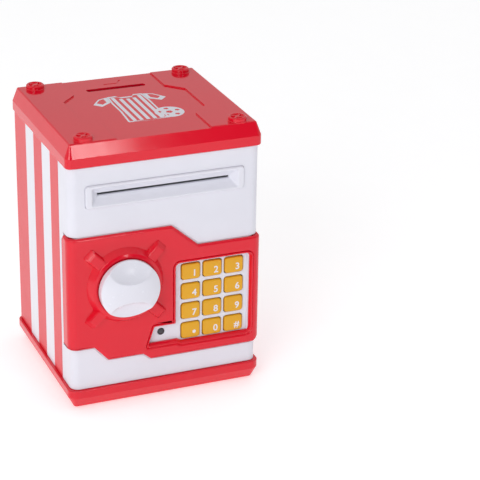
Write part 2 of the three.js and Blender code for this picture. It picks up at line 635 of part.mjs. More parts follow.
function keypadLayer(depths) {
  const { left, right, bottom, top } = KEYPAD;
  const [inset, rightInset] = BOARD_INSET;
  return box([left + inset, right - rightInset], depths, [bottom + inset, top - inset]);
}

// ---- Knob and bolt --------------------------------------------------------------------------
const ball = (rx, ry, rz, at) =>
  solid(new THREE.SphereGeometry(1, 24, 14).scale(rx, ry, rz).translate(...at));

function knob() {
  const rim = KNOB_LENGTH - 2.4;
  const seat = KNOB_BOSS.height + 0.5;
  const skirt = [[0, seat], [KNOB_RADIUS - 0.8, seat], [KNOB_RADIUS, seat + 1.5], [KNOB_RADIUS, rim - 3.5]];
  const shoulder = [[KNOB_RADIUS - 0.9, rim - 1], [KNOB_RADIUS - 3, rim + 1.2]];
  const top = [[KNOB_RADIUS - 7, KNOB_LENGTH], [0, KNOB_LENGTH]];
  const points = [...skirt, ...shoulder, ...top].map(([r, h]) => new THREE.Vector2(r, h));
  const head = new THREE.LatheGeometry(points, 32).rotateX(Math.PI).translate(KNOB_X, DOOR_FACE, KNOB_Z);
  const [radius, depth] = KNOB_SCOOP;
  const scoops = [-1, 1].map((s) =>
    ball(radius, depth, radius, [KNOB_X, DOOR_FACE - KNOB_LENGTH, KNOB_Z + s * (KNOB_GRIP + radius)]),
  );
  const at = [KNOB_X, KNOB_Z];
  const spindle = rod("y", [DOOR_FACE - seat - 1, DISC_BACK - 0.2], at, SPINDLE_RADIUS, 20);
  const pilot = rod("y", [DISC_BACK - 8, DISC_BACK + 1], at, 1.1, 12);
  return cut(join(solid(head), spindle), ...scoops, pilot);
}

function crankDisc() {
  const at = [KNOB_X, KNOB_Z];
  const pinAt = [KNOB_X + PIN_OFFSET, KNOB_Z + PIN_OFFSET];
  const disc = rod("y", [DISC_FRONT, DISC_BACK], at, CRANK.radius, 32);
  const pin = rod("y", [DISC_FRONT + 1, BOLT_BACK + 0.5], pinAt, CRANK.pin, 16);
  return cut(join(disc, pin), rod("y", [DISC_FRONT - 1, DISC_BACK + 1], at, SPINDLE_RADIUS + GAP, 20));
}

function boltPlate() {
  const { left, length, height, tongue, reach } = BOLT;
  const depths = [BOLT_FRONT, BOLT_BACK];
  const through = [BOLT_FRONT - 1, BOLT_BACK + 1];
  const tip = -COLUMN_X - reach + BOLT_TRAVEL;
  const plate = box([left, left + length], depths, [BOLT_BOTTOM, BOLT_BOTTOM + height]);
  const tongues = tongueHeights.map((z) => box([tip, left + 1], depths, [z - tongue / 2, z + tongue / 2]));
  const slotHalf = CRANK.pin + 0.35;
  const pinX = KNOB_X + PIN_OFFSET;
  const slotHeights = [KNOB_Z + PIN_OFFSET - slotHalf - 0.2, KNOB_Z + CRANK.throw + slotHalf + 0.2];
  // The lock's plunger enters one notch when the bolt is drawn back, the other when it is thrown.
  const notches = [PLUNGER.x, PLUNGER.x + BOLT_TRAVEL].map((x) =>
    box(
      [x - PLUNGER.radius - CLEAR, x + PLUNGER.radius + CLEAR],
      through,
      [BOLT_BOTTOM - 1, BOLT_BOTTOM - PLUNGER.gap + PLUNGER.stroke + CLEAR],
    ),
  );
  const slot = box([pinX - slotHalf, pinX + slotHalf], through, slotHeights);
  return cut(join(plate, ...tongues), slot, ...notches);
}

const PLUNGER_TOP = BOLT_BOTTOM - PLUNGER.gap;
const PLUNGER_AT = [PLUNGER.x, BOLT_MIDDLE];
const COIL_TOP = PLUNGER_TOP - 3;

const lockPlunger = () =>
  rod("z", [PLUNGER_TOP - PLUNGER.length, PLUNGER_TOP], PLUNGER_AT, PLUNGER.radius, 12);

function lockCoil() {
  const body = box(
    [PLUNGER.x - COIL.width / 2, PLUNGER.x + COIL.width / 2],
    [BOLT_MIDDLE - COIL.depth / 2, BOLT_MIDDLE + COIL.depth / 2],
    [COIL_TOP - COIL.height, COIL_TOP],
  );
  return cut(body, rod("z", [COIL_TOP - COIL.height + 1.5, 100], PLUNGER_AT, PLUNGER.radius + GAP, 12));
}

// ---- Note feeder ----------------------------------------------------------------------------
function feederFrame() {
  const { halfWidth, cheek, back, below, above } = FEEDER;
  const front = FEEDER_FRONT;
  const [bottom, top] = [NOTE_Z - below, NOTE_Z + above];
  const plateTop = NOTE_Z - NOTE_SLOT.height / 2 - 0.4;
  const plate = box([-halfWidth - 0.5, halfWidth + 0.5], [front, back], [plateTop - 1.4, plateTop]);
  const cheeks = [-1, 1].map((s) => {
    const xs = [s * halfWidth, s * (halfWidth + cheek)].sort((a, b) => a - b);
    return box(xs, [front, back], [bottom, top]);
  });
  const bores = [SHAFT_Z, IDLER_Z].map((z) =>
    rod("x", [-halfWidth - 5, halfWidth + 5], [ROLLER.y, z], SHAFT_RADIUS + GAP, 12),
  );
  const windows = rollerWindows([bottom, plateTop + 1]);
  const pegs = boardPegs.map((at) => rod("z", [BOARD_Z + 1.6 + GAP, plateTop - 1], at, 2, 10));
  const shaftHole = rod("x", [halfWidth - 1, halfWidth + 5], MOTOR_AT, 3.2, 14);
  return cut(join(plate, ...cheeks, ...pegs), ...bores, ...windows, shaftHole);
}

const rollerPlaces = [-ROLLER.x, ROLLER.x];

// The windows that the rollers reach a note through, over a range of heights.
function rollerWindows(heights) {
  const halfX = ROLLER.width / 2 + 1;
  const halfY = ROLLER.radius + 1;
  return rollerPlaces.map((x) => box([x - halfX, x + halfX], [ROLLER.y - halfY, ROLLER.y + halfY], heights));
}

const BOARD_Z = NOTE_Z - BOARD_DROP;
const boardPegs = [[-42, -26], [4, -26]];

function noteGuideUpper() {
  const half = FEEDER.halfWidth - CLEAR;
  const bottom = NOTE_Z + NOTE_SLOT.height / 2 + 0.4;
  const plate = box([-half, half], [FEEDER_FRONT, FEEDER.back], [bottom, bottom + 1.2]);
  return cut(plate, ...rollerWindows([bottom - 1, bottom + 5]));
}

// A rubber sleeve on a shaft along X.
function roller(x, z) {
  const span = [x - ROLLER.width / 2, x + ROLLER.width / 2];
  return cut(
    rod("x", span, [ROLLER.y, z], ROLLER.radius, 16),
    rod("x", [span[0] - 1, span[1] + 1], [ROLLER.y, z], SHAFT_RADIUS + GAP, 12),
  );
}

const GEAR_X = [FEEDER.halfWidth + FEEDER.cheek + 1.2, FEEDER.halfWidth + FEEDER.cheek + 1.2 + GEAR.width];
// The pinion is turned so that one of its gaps faces a tooth of the drive gear.
const toothFacing = MOTOR_ANGLE;
const gapFacing = MOTOR_ANGLE + Math.PI + Math.PI / GEAR.pinion;

function driveGear() {
  const wheel = gear(GEAR.teeth, GEAR_X, [ROLLER.y, SHAFT_Z], toothFacing);
  return cut(wheel, rod("x", [0, 80], [ROLLER.y, SHAFT_Z], SHAFT_RADIUS + GAP, 12));
}

function motorPinion() {
  const shaft = rod("x", [FEEDER.halfWidth - 1, GEAR_X[1] + 0.5], MOTOR_AT, 1, 12);
  return join(gear(GEAR.pinion, GEAR_X, MOTOR_AT, gapFacing), shaft);
}

function motorCan() {
  const { radius, length } = MOTOR;
  const end = FEEDER.halfWidth - GAP - 1.2;
  const [y, z] = MOTOR_AT;
  const can = rod("x", [end - length, end], MOTOR_AT, radius, 24).intersect(
    box([0, 60], [y - 10, y + 10], [z - radius + 1, z + radius - 1]),
  );
  return join(can, rod("x", [end - length - 2, end - length + 1], MOTOR_AT, 3, 12));
}

// ---- Power and electronics ------------------------------------------------------------------
const cellPlaces = [-1, 0, 1].map((i) => BATTERY_BOX.y + i * CELL_PITCH);

function battery(y, facing) {
  const end = (facing * CELL.length) / 2;
  const nub = [end - facing * 0.5, end + facing * 1.2].sort((a, b) => a - b);
  return join(
    rod("x", [-CELL.length / 2, CELL.length / 2], [y, CELL_Z], CELL.radius, 20),
    rod("x", nub, [y, CELL_Z], 2.6, 12),
  );
}

function batteryContact(side) {
  const x = side * (BOX_HALF_X - 0.8);
  const { y } = BATTERY_BOX;
  return box([x - 0.3, x + 0.3], [y - BOX_HALF_Y + 1, y + BOX_HALF_Y - 1], [CELL_Z - 5, CELL_Z + 5]);
}

function batteryCover() {
  const { y } = BATTERY_BOX;
  const [halfX, front, back] = [BOX_HALF_X - CLEAR, y - BOX_HALF_Y, y + BOX_HALF_Y];
  const heights = [FOOT_PROUD + 0.1, FOOT_PROUD + COVER_WALL];
  const plate = box([-halfX, halfX], [front + CLEAR, back - 2 * CLEAR], heights);
  const tab = box([-6, 6], [coverScrewAt[1] - 4.4, front + 1], heights);
  const gripHeights = [0, FOOT_PROUD + 0.5];
  const grips = [-3.2, 0, 3.2].map((d) => box([-9, 9], [y + 12 + d, y + 13 + d], gripHeights));
  const hole = rod("z", [0, 10], coverScrewAt, SMALL_SCREW.shank + GAP, 10);
  const headTop = FOOT_PROUD + 0.4 + SMALL_SCREW.headHeight;
  const headRoom = rod("z", [0, headTop], coverScrewAt, SMALL_SCREW.head + GAP, 12);
  return cut(join(plate, tab), hole, headRoom, ...grips);
}

function mainBoard() {
  const top = [BOARD_Z, BOARD_Z + 1.6];
  const holder = box([-46, 10], [-50, -22], top);
  const chip = box([-34, -24], [-44, -34], [BOARD_Z - 2, BOARD_Z + 0.2]);
  const plug = box([-14, -6], [-40, -30], [BOARD_Z - 6, BOARD_Z + 0.2]);
  return join(holder, chip, plug);
}

function speaker() {
  return join(
    rod("z", [FLOOR_TOP + GAP, FLOOR_TOP + 3], SPEAKER_AT, 12, 24),
    rod("z", [FLOOR_TOP + 2.9, FLOOR_TOP + 6], SPEAKER_AT, 6.5, 20),
  );
}

// ---- Assembly -------------------------------------------------------------------------------
const safe = new THREE.Group();
safe.position.y = ORIGIN_SHIFT;
const add = (name, body, material) => safe.add(part(name, body, material));

add("body_shell", bodyShell(), RED);
add("front_frame", frontFrame(), WHITE);
add("base_tray", baseTray(), RED);
add("lid", lid(), RED);
const cornerNames = ["front_left", "front_right", "back_right", "back_left"];
footPlaces.forEach((at, i) => {
  add(`foot_${cornerNames[i]}`, rod("z", [0, FOOT_PROUD + 1.1], at, FOOT_RADIUS, 14), RUBBER);
});
corners(...postAt).forEach((at, i) => {
  const tip = POST_TOP + SCREW_POST.height - 1;
  add(`base_screw_${cornerNames[i]}`, screw("z", FOOT_PROUD + 2.6, tip, at), STEEL);
});

add("door_panel", doorPanel(), RED);
add("door_liner", doorLiner(), WHITE);
linerScrews.forEach((at, i) => {
  add(`liner_screw_${i + 1}`, screw("y", LINER_BACK + SCREW.headHeight + 0.3, LINER_BACK - 4, at), STEEL);
});
KNUCKLES.forEach((z, i) => {
  const name = ["hinge_pin_lower", "hinge_pin_upper"][i];
  add(name, rod("z", [z - KNUCKLE_HEIGHT, z + KNUCKLE_HEIGHT], HINGE, HINGE_PIN_RADIUS, 12), STEEL);
});
add("keypad_plate", keypadPlate(), WHITE);
add("keypad_membrane", keypadLayer([MEMBRANE_FRONT, MEMBRANE_FRONT + 1]), GREY);
add("keypad_board", keypadLayer([MEMBRANE_FRONT + 1 + GAP, MEMBRANE_FRONT + 2.6]), BOARD);
add("status_led", rod("y", [PLATE_FRONT - 0.5, PLATE_BACK + 2], [LED.x, LED.z], LED.radius, 20), LENS);
keyPlaces.forEach((place) => add(place.name, key(place), AMBER));

add("knob", knob(), WHITE);
add("crank_disc", crankDisc(), GREY);
add(
  "knob_screw",
  screw("y", DISC_BACK + GAP + SMALL_SCREW.headHeight, DISC_BACK - 6, [KNOB_X, KNOB_Z], SMALL_SCREW),
  STEEL,
);
add("latch_bolt", boltPlate(), GREY);
add("lock_coil", lockCoil(), BRASS);
add("lock_plunger", lockPlunger(), STEEL);

add("feeder_frame", feederFrame(), GREY);
add("note_guide_upper", noteGuideUpper(), GREY);
const shaftReach = FEEDER.halfWidth + FEEDER.cheek + 0.8;
const driveSpan = [-shaftReach, GEAR_X[1] + 0.5];
add("drive_shaft", rod("x", driveSpan, [ROLLER.y, SHAFT_Z], SHAFT_RADIUS, 12), STEEL);
add("idler_shaft", rod("x", [-shaftReach, shaftReach], [ROLLER.y, IDLER_Z], SHAFT_RADIUS, 12), STEEL);
rollerPlaces.forEach((x, i) => {
  const side = ["left", "right"][i];
  add(`drive_roller_${side}`, roller(x, SHAFT_Z), RUBBER);
  add(`idler_roller_${side}`, roller(x, IDLER_Z), RUBBER);
});
add("drive_gear", driveGear(), WHITE);
add("motor_pinion", motorPinion(), BRASS);
add("motor_can", motorCan(), STEEL);

cellPlaces.forEach((y, i) => add(`battery_${i + 1}`, battery(y, i % 2 ? -1 : 1), SLEEVE));
add("battery_contact_left", batteryContact(-1), STEEL);
add("battery_contact_right", batteryContact(1), STEEL);
add("battery_cover", batteryCover(), RED);
add("battery_cover_screw", screw("z", FOOT_PROUD + 0.3, FLOOR_TOP + 5, coverScrewAt, SMALL_SCREW), STEEL);
add("main_board", mainBoard(), BOARD);
add("speaker", speaker(), DARK);

export default safe;
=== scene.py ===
"""A toy safe coin bank: striped case, studded lid, note slot and a stepped door with knob and keypad.

Lengths are in millimetres until a mesh is made, and then in metres.
"""

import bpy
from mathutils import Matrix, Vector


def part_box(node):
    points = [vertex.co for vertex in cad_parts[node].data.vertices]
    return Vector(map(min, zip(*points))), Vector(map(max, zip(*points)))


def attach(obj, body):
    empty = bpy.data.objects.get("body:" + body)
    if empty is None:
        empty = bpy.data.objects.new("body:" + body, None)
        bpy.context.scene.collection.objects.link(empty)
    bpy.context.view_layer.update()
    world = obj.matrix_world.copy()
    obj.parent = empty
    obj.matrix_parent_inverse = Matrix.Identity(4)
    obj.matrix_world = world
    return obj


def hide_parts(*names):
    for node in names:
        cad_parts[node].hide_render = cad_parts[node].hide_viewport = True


bl_info = {
    "name": "Toy Safe Coin Bank",
    "version": (1, 0, 0),
    "blender": (4, 5, 0),
    "location": "3D View > Sidebar > Coin Bank",
    "description": "Builds a toy safe coin bank, piece by piece",
    "category": "Add Mesh",
}

import math

import bmesh
import bpy
from mathutils import Matrix, Vector

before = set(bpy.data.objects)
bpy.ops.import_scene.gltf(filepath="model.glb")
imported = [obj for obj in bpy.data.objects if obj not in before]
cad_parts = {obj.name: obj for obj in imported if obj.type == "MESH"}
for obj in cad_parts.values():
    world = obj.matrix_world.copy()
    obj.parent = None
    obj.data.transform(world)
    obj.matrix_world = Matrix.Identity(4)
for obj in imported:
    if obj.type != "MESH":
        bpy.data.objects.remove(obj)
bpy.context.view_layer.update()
MM = 0.001


# ---- Places from the frame ------------------------------------------------------------------
def span(node):
    """Lowest and highest corner of a CAD node, in millimetres."""
    low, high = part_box(node)
    return low / MM, high / MM


CASE_LOW, CASE_HIGH = span("body_shell")
FRONT_LOW, FRONT_HIGH = span("front_frame")
BASE_LOW, BASE_HIGH = span("base_tray")
LID_LOW, LID_HIGH = span("lid")
DOOR_HIGH = span("door_panel")[1]
PLATE_LOW, PLATE_HIGH = span("keypad_plate")
KNOB_LOW, KNOB_HIGH = span("knob")
PIN_LOW, PIN_HIGH = span("hinge_pin_lower")

HALF_W = CASE_HIGH.x
BACK = CASE_HIGH.y
CASE_DEPTH = 122.0
DOOR_PROUD = 2.0
NOTE_DROP = 21.0
LID_RIM = 6.8  # upright part of the lid
LID_TAPER = 3.5
STUD_HEIGHT = 3.0
STUD_INSET = 13.4
FIELD_DEPTH = 0.9  # sunk field in the lid
POST_INSET = 8.5
LIP_DEPTH = 4.0
FLOOR_THICK = 2.4
FRONT = BACK - CASE_DEPTH  # the case's front face, behind the note slot's rim
MID_Y = (FRONT + BACK) / 2
HALF_D = (BACK - FRONT) / 2
CASE_TOP = CASE_HIGH.z + 0.3
BASE_TOP = CASE_LOW.z - 0.3
DOOR_FACE = FRONT - DOOR_PROUD
DOOR_SIDE = DOOR_HIGH.x
HINGE = Vector(((PIN_LOW.x + PIN_HIGH.x) / 2, (PIN_LOW.y + PIN_HIGH.y) / 2))
KNOB_AT = Vector(((KNOB_LOW.x + KNOB_HIGH.x) / 2, (KNOB_LOW.z + KNOB_HIGH.z) / 2))
KNOB_RADIUS = (KNOB_HIGH.x - KNOB_LOW.x) / 2
KNOB_FRONT = DOOR_FACE - KNOB_LOW.y
LID_OUT = LID_HIGH.x - HALF_W
BASE_OUT = BASE_HIGH.x - HALF_W
KEYPAD_RIGHT = PLATE_HIGH.x - 2.0
NOTE_Z = CASE_TOP - NOTE_DROP
KEYS = ["1", "2", "3", "4", "5", "6", "7", "8", "9", "star", "0", "hash"]


# ---- What a user would change ---------------------------------------------------------------
def length(name, description, default):
    """A length that a user can change, with its default in millimetres."""
    return bpy.props.FloatProperty(
        name=name, description=description, default=default * MM, min=0.0, precision=5,
        subtype="DISTANCE", unit="LENGTH",
    )


def colour(name, description, default):
    return bpy.props.FloatVectorProperty(
        name=name, description=description, default=default, size=3, subtype="COLOR", min=0.0, max=1.0
    )


class BankSizes(bpy.types.PropertyGroup):
    """Sizes of the fine shapes."""

    edge: length("Edge", "Rounding of a moulded edge", 0.5)
    lid_edge: length("Lid edge", "Rounding round the lid's top", 1.3)
    door_edge: length("Door edge", "Rounding round the door's face", 1.7)
    lip: length("Keypad lip", "Width of the slope round the keypad", 2.2)
    side_stripe: length("Side stripe", "Width of a printed stripe on the sides", 18.2)
    side_pitch: length("Side stripe pitch", "From one side stripe to the next", 37.0)
    back_stripe: length("Back stripe", "Width of a printed stripe on the back", 18.0)
    figure: length("Figure", "Height of the figures on the keys", 4.8)
    ink: length("Ink", "Thickness of printed ink", 0.05)


class BankColours(bpy.types.PropertyGroup):
    """Colours of the mouldings."""

    red: colour("Red", "Lid, base, door and stripes", (0.78, 0.002, 0.02))
    white: colour("White", "Front, knob and keypad plate", (0.80, 0.80, 0.88))
    amber: colour("Amber", "Keys", (0.80, 0.40, 0.003))
    ink: colour("Ink", "Printed figures and stripes", (0.82, 0.82, 0.89))
    lens: colour("Lens", "Status light", (0.055, 0.05, 0.06))


def size(name):
    """One of the user's lengths, in millimetres."""
    return getattr(bpy.context.scene.bank_sizes, name) / MM


# ---- Shader expressions ---------------------------------------------------------------------
class Wire:
    """A shader socket that can stand in an expression."""

    def __init__(self, shader, socket):
        self.shader, self.socket = shader, socket

    def maths(self, operation, *values):
        return self.shader.node("ShaderNodeMath", {"operation": operation}, values)

    def __add__(self, other):
        return self.maths("ADD", self, other)

    def __sub__(self, other):
        return self.maths("SUBTRACT", self, other)

    def __rsub__(self, other):
        return self.maths("SUBTRACT", other, self)

    def __mul__(self, other):
        return self.maths("MULTIPLY", self, other)

    def __truediv__(self, other):
        return self.maths("DIVIDE", self, other)

    def __gt__(self, other):
        return self.maths("GREATER_THAN", self, other)

    def __lt__(self, other):
        return self.maths("LESS_THAN", self, other)

    def __abs__(self):
        return self.maths("ABSOLUTE", self)

    def fraction(self):
        return self.maths("FRACT", self)

    __radd__ = __add__
    __rmul__ = __mul__


class Shader:
    """The node tree of a new material, or of the world it is given."""

    def __init__(self, name, world=None):
        self.material = world or bpy.data.materials.new(name)
        self.material.use_nodes = True
        self.tree = self.material.node_tree
        self.surface = self.tree.nodes["Background" if world else "Principled BSDF"]

    def node(self, kind, settings=None, inputs=(), output=0):
        made = self.tree.nodes.new(kind)
        for key, value in (settings or {}).items():
            if key == "stops":
                for stop, (place, shade) in zip(made.color_ramp.elements, value):
                    stop.position, stop.color = place, shade
            else:
                setattr(made, key, value)
        self.feed(made, inputs)
        return Wire(self, made.outputs[output])

    def feed(self, made, inputs):
        pairs = inputs.items() if isinstance(inputs, dict) else enumerate(inputs)
        for key, value in pairs:
            if isinstance(value, Wire):
                self.tree.links.new(value.socket, made.inputs[key])
            elif value is not None:
                made.inputs[key].default_value = value

    def place(self):
        return self.node("ShaderNodeTexCoord", output="Object")

    def axes(self, source="Object"):
        where = self.node("ShaderNodeTexCoord", output=source)
        parts = self.node("ShaderNodeSeparateXYZ", inputs=[where]).socket.node
        return [Wire(self, parts.outputs[i]) for i in range(3)]

    def ramp(self, value, low, high):
        """0 below low and 1 above high, eased between them."""
        inputs = {"Value": value, "From Min": low, "From Max": high}
        return self.node("ShaderNodeMapRange", {"interpolation_type": "SMOOTHSTEP"}, inputs)

    def noise(self, scale, detail=2.0, roughness=0.5):
        settings = {"Vector": self.place(), "Scale": scale, "Detail": detail, "Roughness": roughness}
        return self.node("ShaderNodeTexNoise", inputs=settings)

    def mix(self, mask, first, second):
        settings = {"data_type": "RGBA"}
        return self.node("ShaderNodeMix", settings, {0: mask, 6: first, 7: second}, output=2)

    def bump(self, height, distance, strength=1.0):
        inputs = {"Strength": strength, "Distance": distance, "Height": height}
        return self.node("ShaderNodeBump", inputs=inputs)

    def finish(self, **sockets):
        names = {key.replace("_", " ").title(): value for key, value in sockets.items()}
        names = {{"Ior": "IOR"}.get(key, key): value for key, value in names.items()}
        self.feed(self.surface, names)
        return self.material


def rgba(shade, factor=1.0):
    return (*[min(1.0, c * factor) for c in shade], 1.0)


def moulded(name, shade, roughness=0.3, mask=None, second=None):
    """Injection moulded plastic: faint flow marks, uneven gloss and a fine orange-peel surface."""
    shader = Shader(name)
    flow = shader.noise(28.0, 3.0)
    base = shader.mix(flow, rgba(shade, 0.94), rgba(shade, 1.04))
    if mask is not None:
        base = shader.mix(mask(shader), base, rgba(second))
    handling = shader.noise(140.0, 4.0, 0.6)
    scratches = shader.ramp(shader.noise(420.0, 1.0), 0.66, 0.74)
    peel = shader.noise(260.0, 2.0)
    return shader.finish(
        base_color=base,
        roughness=roughness - 0.04 + handling * 0.08 + scratches * 0.05,
        normal=shader.bump(peel, 0.01 * MM, 0.5),
        ior=1.5,
    )


def stripes(shader):
    """White printed bands, upright, on the outside of the case's sides and back."""
    pitch, half = size("side_pitch"), size("back_stripe") / 2
    x, y, z = shader.axes()
    start = (MID_Y + 14.5) * MM
    side = ((y - start) / (pitch * MM)).fraction() < size("side_stripe") / pitch
    side = side * (abs(x) > (HALF_W - 0.6) * MM) * (y < start + (pitch - 0.6) * MM)
    back = ((x + half * MM) / (4 * half * MM)).fraction() < 0.5
    back = back * (y > (BACK - 0.6) * MM) * (abs(x) < (HALF_W - 4) * MM)
    back = back * (z > (BASE_TOP + 2.2) * MM) * (z < (CASE_TOP - 2.2) * MM)
    return side + back


def metal(name, shade, roughness):
    """Plated or drawn metal with fine unevenness."""
    shader = Shader(name)
    grain = shader.noise(600.0, 3.0)
    return shader.finish(
        base_color=rgba(shade),
        metallic=1.0,
        roughness=roughness - 0.06 + grain * 0.12,
        normal=shader.bump(grain, 0.01 * MM, 0.5),
    )


def rubber(name, shade):
    shader = Shader(name)
    grain = shader.noise(1500.0, 3.0)
    base = shader.mix(shader.noise(90.0), rgba(shade, 0.8), rgba(shade, 1.3))
    return shader.finish(base_color=base, roughness=0.85, normal=shader.bump(grain, 0.03 * MM))


FINISHES = {}


def finish_of(name):
    """A finish by its plain name, made once."""
    if name in FINISHES:
        return FINISHES[name]
    colours = bpy.context.scene.bank_colours
    makers = {
        "red_plastic": lambda: moulded(name, colours.red, 0.12),
        "striped_plastic": lambda: moulded(name, colours.red, 0.3, stripes, colours.ink),
        "white_plastic": lambda: moulded(name, colours.white, 0.34),
        "knob_plastic": lambda: moulded(name, colours.white, 0.24),
        "amber_plastic": lambda: moulded(name, colours.amber, 0.42),
        "white_ink": lambda: moulded(name, colours.ink, 0.45),
        "grey_plastic": lambda: moulded(name, (0.35, 0.36, 0.38), 0.45),
        "lens_plastic": lambda: moulded(name, colours.lens, 0.12),
        "dark_plastic": lambda: moulded(name, (0.02, 0.02, 0.024), 0.5),
        "board_lacquer": lambda: moulded(name, (0.01, 0.13, 0.045), 0.3),
        "cell_sleeve": lambda: moulded(name, (0.06, 0.14, 0.38), 0.25),
        "steel": lambda: metal(name, (0.62, 0.62, 0.63), 0.32),
        "brass": lambda: metal(name, (0.72, 0.5, 0.2), 0.3),
        "winding": lambda: moulded(name, (0.42, 0.17, 0.05), 0.4),
        "black_rubber": lambda: rubber(name, (0.02, 0.02, 0.022)),
    }
    FINISHES[name] = makers[name]()
    return FINISHES[name]


# ---- Outlines and meshes --------------------------------------------------------------------
def rounded(corners, radius, steps=6, closed=True):
    """The polygon or path through these corners, each rounded by radius or by its own of several radii."""
    count = len(corners)
    radii = radius if isinstance(radius, (list, tuple)) else [radius] * count
    points = []
    for i, (corner, r) in enumerate(zip(corners, radii)):
        corner = Vector(corner)
        if r <= 0 or (not closed and i in (0, count - 1)):
            points.append(corner)
            continue
        before = Vector(corners[i - 1]) - corner
        after = Vector(corners[(i + 1) % count]) - corner
        angle = before.angle(after)
        reach = r / math.tan(angle / 2)
        centre = corner + (before.normalized() + after.normalized()).normalized() * r / math.sin(angle / 2)
        start = corner + before.normalized() * reach - centre
        end = corner + after.normalized() * reach - centre
        turn = start.angle_signed(end)
        for k in range(steps + 1):
            points.append(centre + Matrix.Rotation(-turn * k / steps, 2) @ start)
    return points


def rectangle(x0, x1, y0, y1):
    return [(x0, y0), (x1, y0), (x1, y1), (x0, y1)]


def circle(centre, radius, count):
    turns = [k * math.tau / count for k in range(count)]
    return [centre + radius * Vector((math.cos(a), math.sin(a))) for a in turns]


def round_block(outset, radius, steps=8):
    """The case's outline in X and Y, grown by outset."""
    edges = rectangle(-HALF_W - outset, HALF_W + outset, FRONT - outset, BACK + outset)
    return rounded(edges, radius, steps)


def make(name, mesh, finish, body, replaces=(), angle=32):
    """Turns a bmesh in millimetres into a finished piece that rides on a body."""
    bmesh.ops.remove_doubles(mesh, verts=mesh.verts, dist=1e-4)
    bmesh.ops.recalc_face_normals(mesh, faces=mesh.faces)
    bmesh.ops.scale(mesh, vec=(MM, MM, MM), verts=mesh.verts)
    data = bpy.data.meshes.new(name)
    mesh.to_mesh(data)
    mesh.free()
    data.shade_smooth()
    data.set_sharp_from_angle(angle=math.radians(angle))
    piece = bpy.data.objects.new(name, data)
    bpy.context.scene.collection.objects.link(piece)
    data.materials.append(finish_of(finish))
    evening = piece.modifiers.new("even shading", "WEIGHTED_NORMAL")
    evening.keep_sharp = True
    if body:
        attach(piece, body)
    if replaces:
        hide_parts(*replaces)
    return piece


def merge(*meshes):
    """Several bmeshes as one."""
    whole = bmesh.new()
    for mesh in meshes:
        data = bpy.data.meshes.new("part")
        mesh.to_mesh(data)
        whole.from_mesh(data)
        bpy.data.meshes.remove(data)
        mesh.free()
    return whole


def loft(loops, closed=False, caps=True):
    """A skin over loops of equally many points. Closed joins the last loop to the first."""
    mesh = bmesh.new()
    rows = [[mesh.verts.new(p) for p in loop] for loop in loops]
    pairs = list(zip(rows, rows[1:])) + ([(rows[-1], rows[0])] if closed else [])
    for a, b in pairs:
        for i in range(len(a)):
            j = (i + 1) % len(a)
            mesh.faces.new((a[i], a[j], b[j], b[i]))
    if caps and not closed:
        mesh.faces.new(list(reversed(rows[0])))
        mesh.faces.new(rows[-1])
    return mesh


def turned(profile, segments=64, closed=False):
    """A lathe shape round Z from (radius, height) points; radius 0 makes a pole."""
    mesh = bmesh.new()
    rows = []
    for r, h in profile:
        if r < 1e-6:
            rows.append([mesh.verts.new((0, 0, h))])
            continue
        angles = [2 * math.pi * i / segments for i in range(segments)]
        rows.append([mesh.verts.new((r * math.cos(a), r * math.sin(a), h)) for a in angles])
    pairs = list(zip(rows, rows[1:])) + ([(rows[-1], rows[0])] if closed else [])
    for a, b in pairs:
        for i in range(segments):
            j = (i + 1) % segments
            ring = [a[i % len(a)], a[j % len(a)], b[j % len(b)], b[i % len(b)]]
            face = [v for k, v in enumerate(ring) if v not in ring[:k]]
            if len(face) > 2:
                mesh.faces.new(face)
    return mesh


def place(mesh, matrix):
    bmesh.ops.transform(mesh, matrix=matrix, verts=mesh.verts)
    return mesh


def facing(x, y, z, turn=0.0):
    """Local Z becomes the outward direction of the door's face, local X stays X and local Y becomes Z."""
    axes = Matrix(((1, 0, 0), (0, 0, -1), (0, 1, 0))).to_4x4()
    return Matrix.Translation((x, y, z)) @ axes @ Matrix.Rotation(turn, 4, "Z")


def plate(outline, holes=(), thickness=2.0, edge=0.4, steps=3):
    """A flat plate with rounded edges, whose top is at height 0. Its outline and holes are in X and Y."""
    curve = bpy.data.curves.new("plate", "CURVE")
    curve.dimensions = "2D"
    curve.fill_mode = "BOTH"
    tall = max(thickness, 2 * edge + 0.1)
    curve.extrude = tall / 2 - edge
    curve.bevel_depth = edge
    curve.bevel_resolution = steps
    curve.offset = -edge
    for index, points in enumerate([outline, *holes]):
        area = sum(a[0] * b[1] - b[0] * a[1] for a, b in zip(points, [*points[1:], points[0]]))
        ordered = points if (area > 0) == (index == 0) else list(reversed(points))
        spline = curve.splines.new("POLY")
        spline.points.add(len(ordered) - 1)
        for point, (x, y) in zip(spline.points, ordered):
            point.co = (x, y, 0, 1)
        spline.use_cyclic_u = True
    mesh = from_curve(curve, -tall / 2)
    for vert in mesh.verts:
        vert.co.z = max(vert.co.z, -thickness)
    return mesh


def from_curve(curve, lift):
    """A curve's solid as a bmesh, moved along Z."""
    holder = bpy.data.objects.new("curve", curve)
    bpy.context.scene.collection.objects.link(holder)
    solid = holder.evaluated_get(bpy.context.evaluated_depsgraph_get())
    data = bpy.data.meshes.new_from_object(solid)
    mesh = bmesh.new()
    mesh.from_mesh(data)
    bmesh.ops.translate(mesh, vec=(0, 0, lift), verts=mesh.verts)
    bmesh.ops.remove_doubles(mesh, verts=mesh.verts, dist=1e-4)
    bpy.data.objects.remove(holder)
    bpy.data.meshes.remove(data)
    bpy.data.curves.remove(curve)
    return mesh


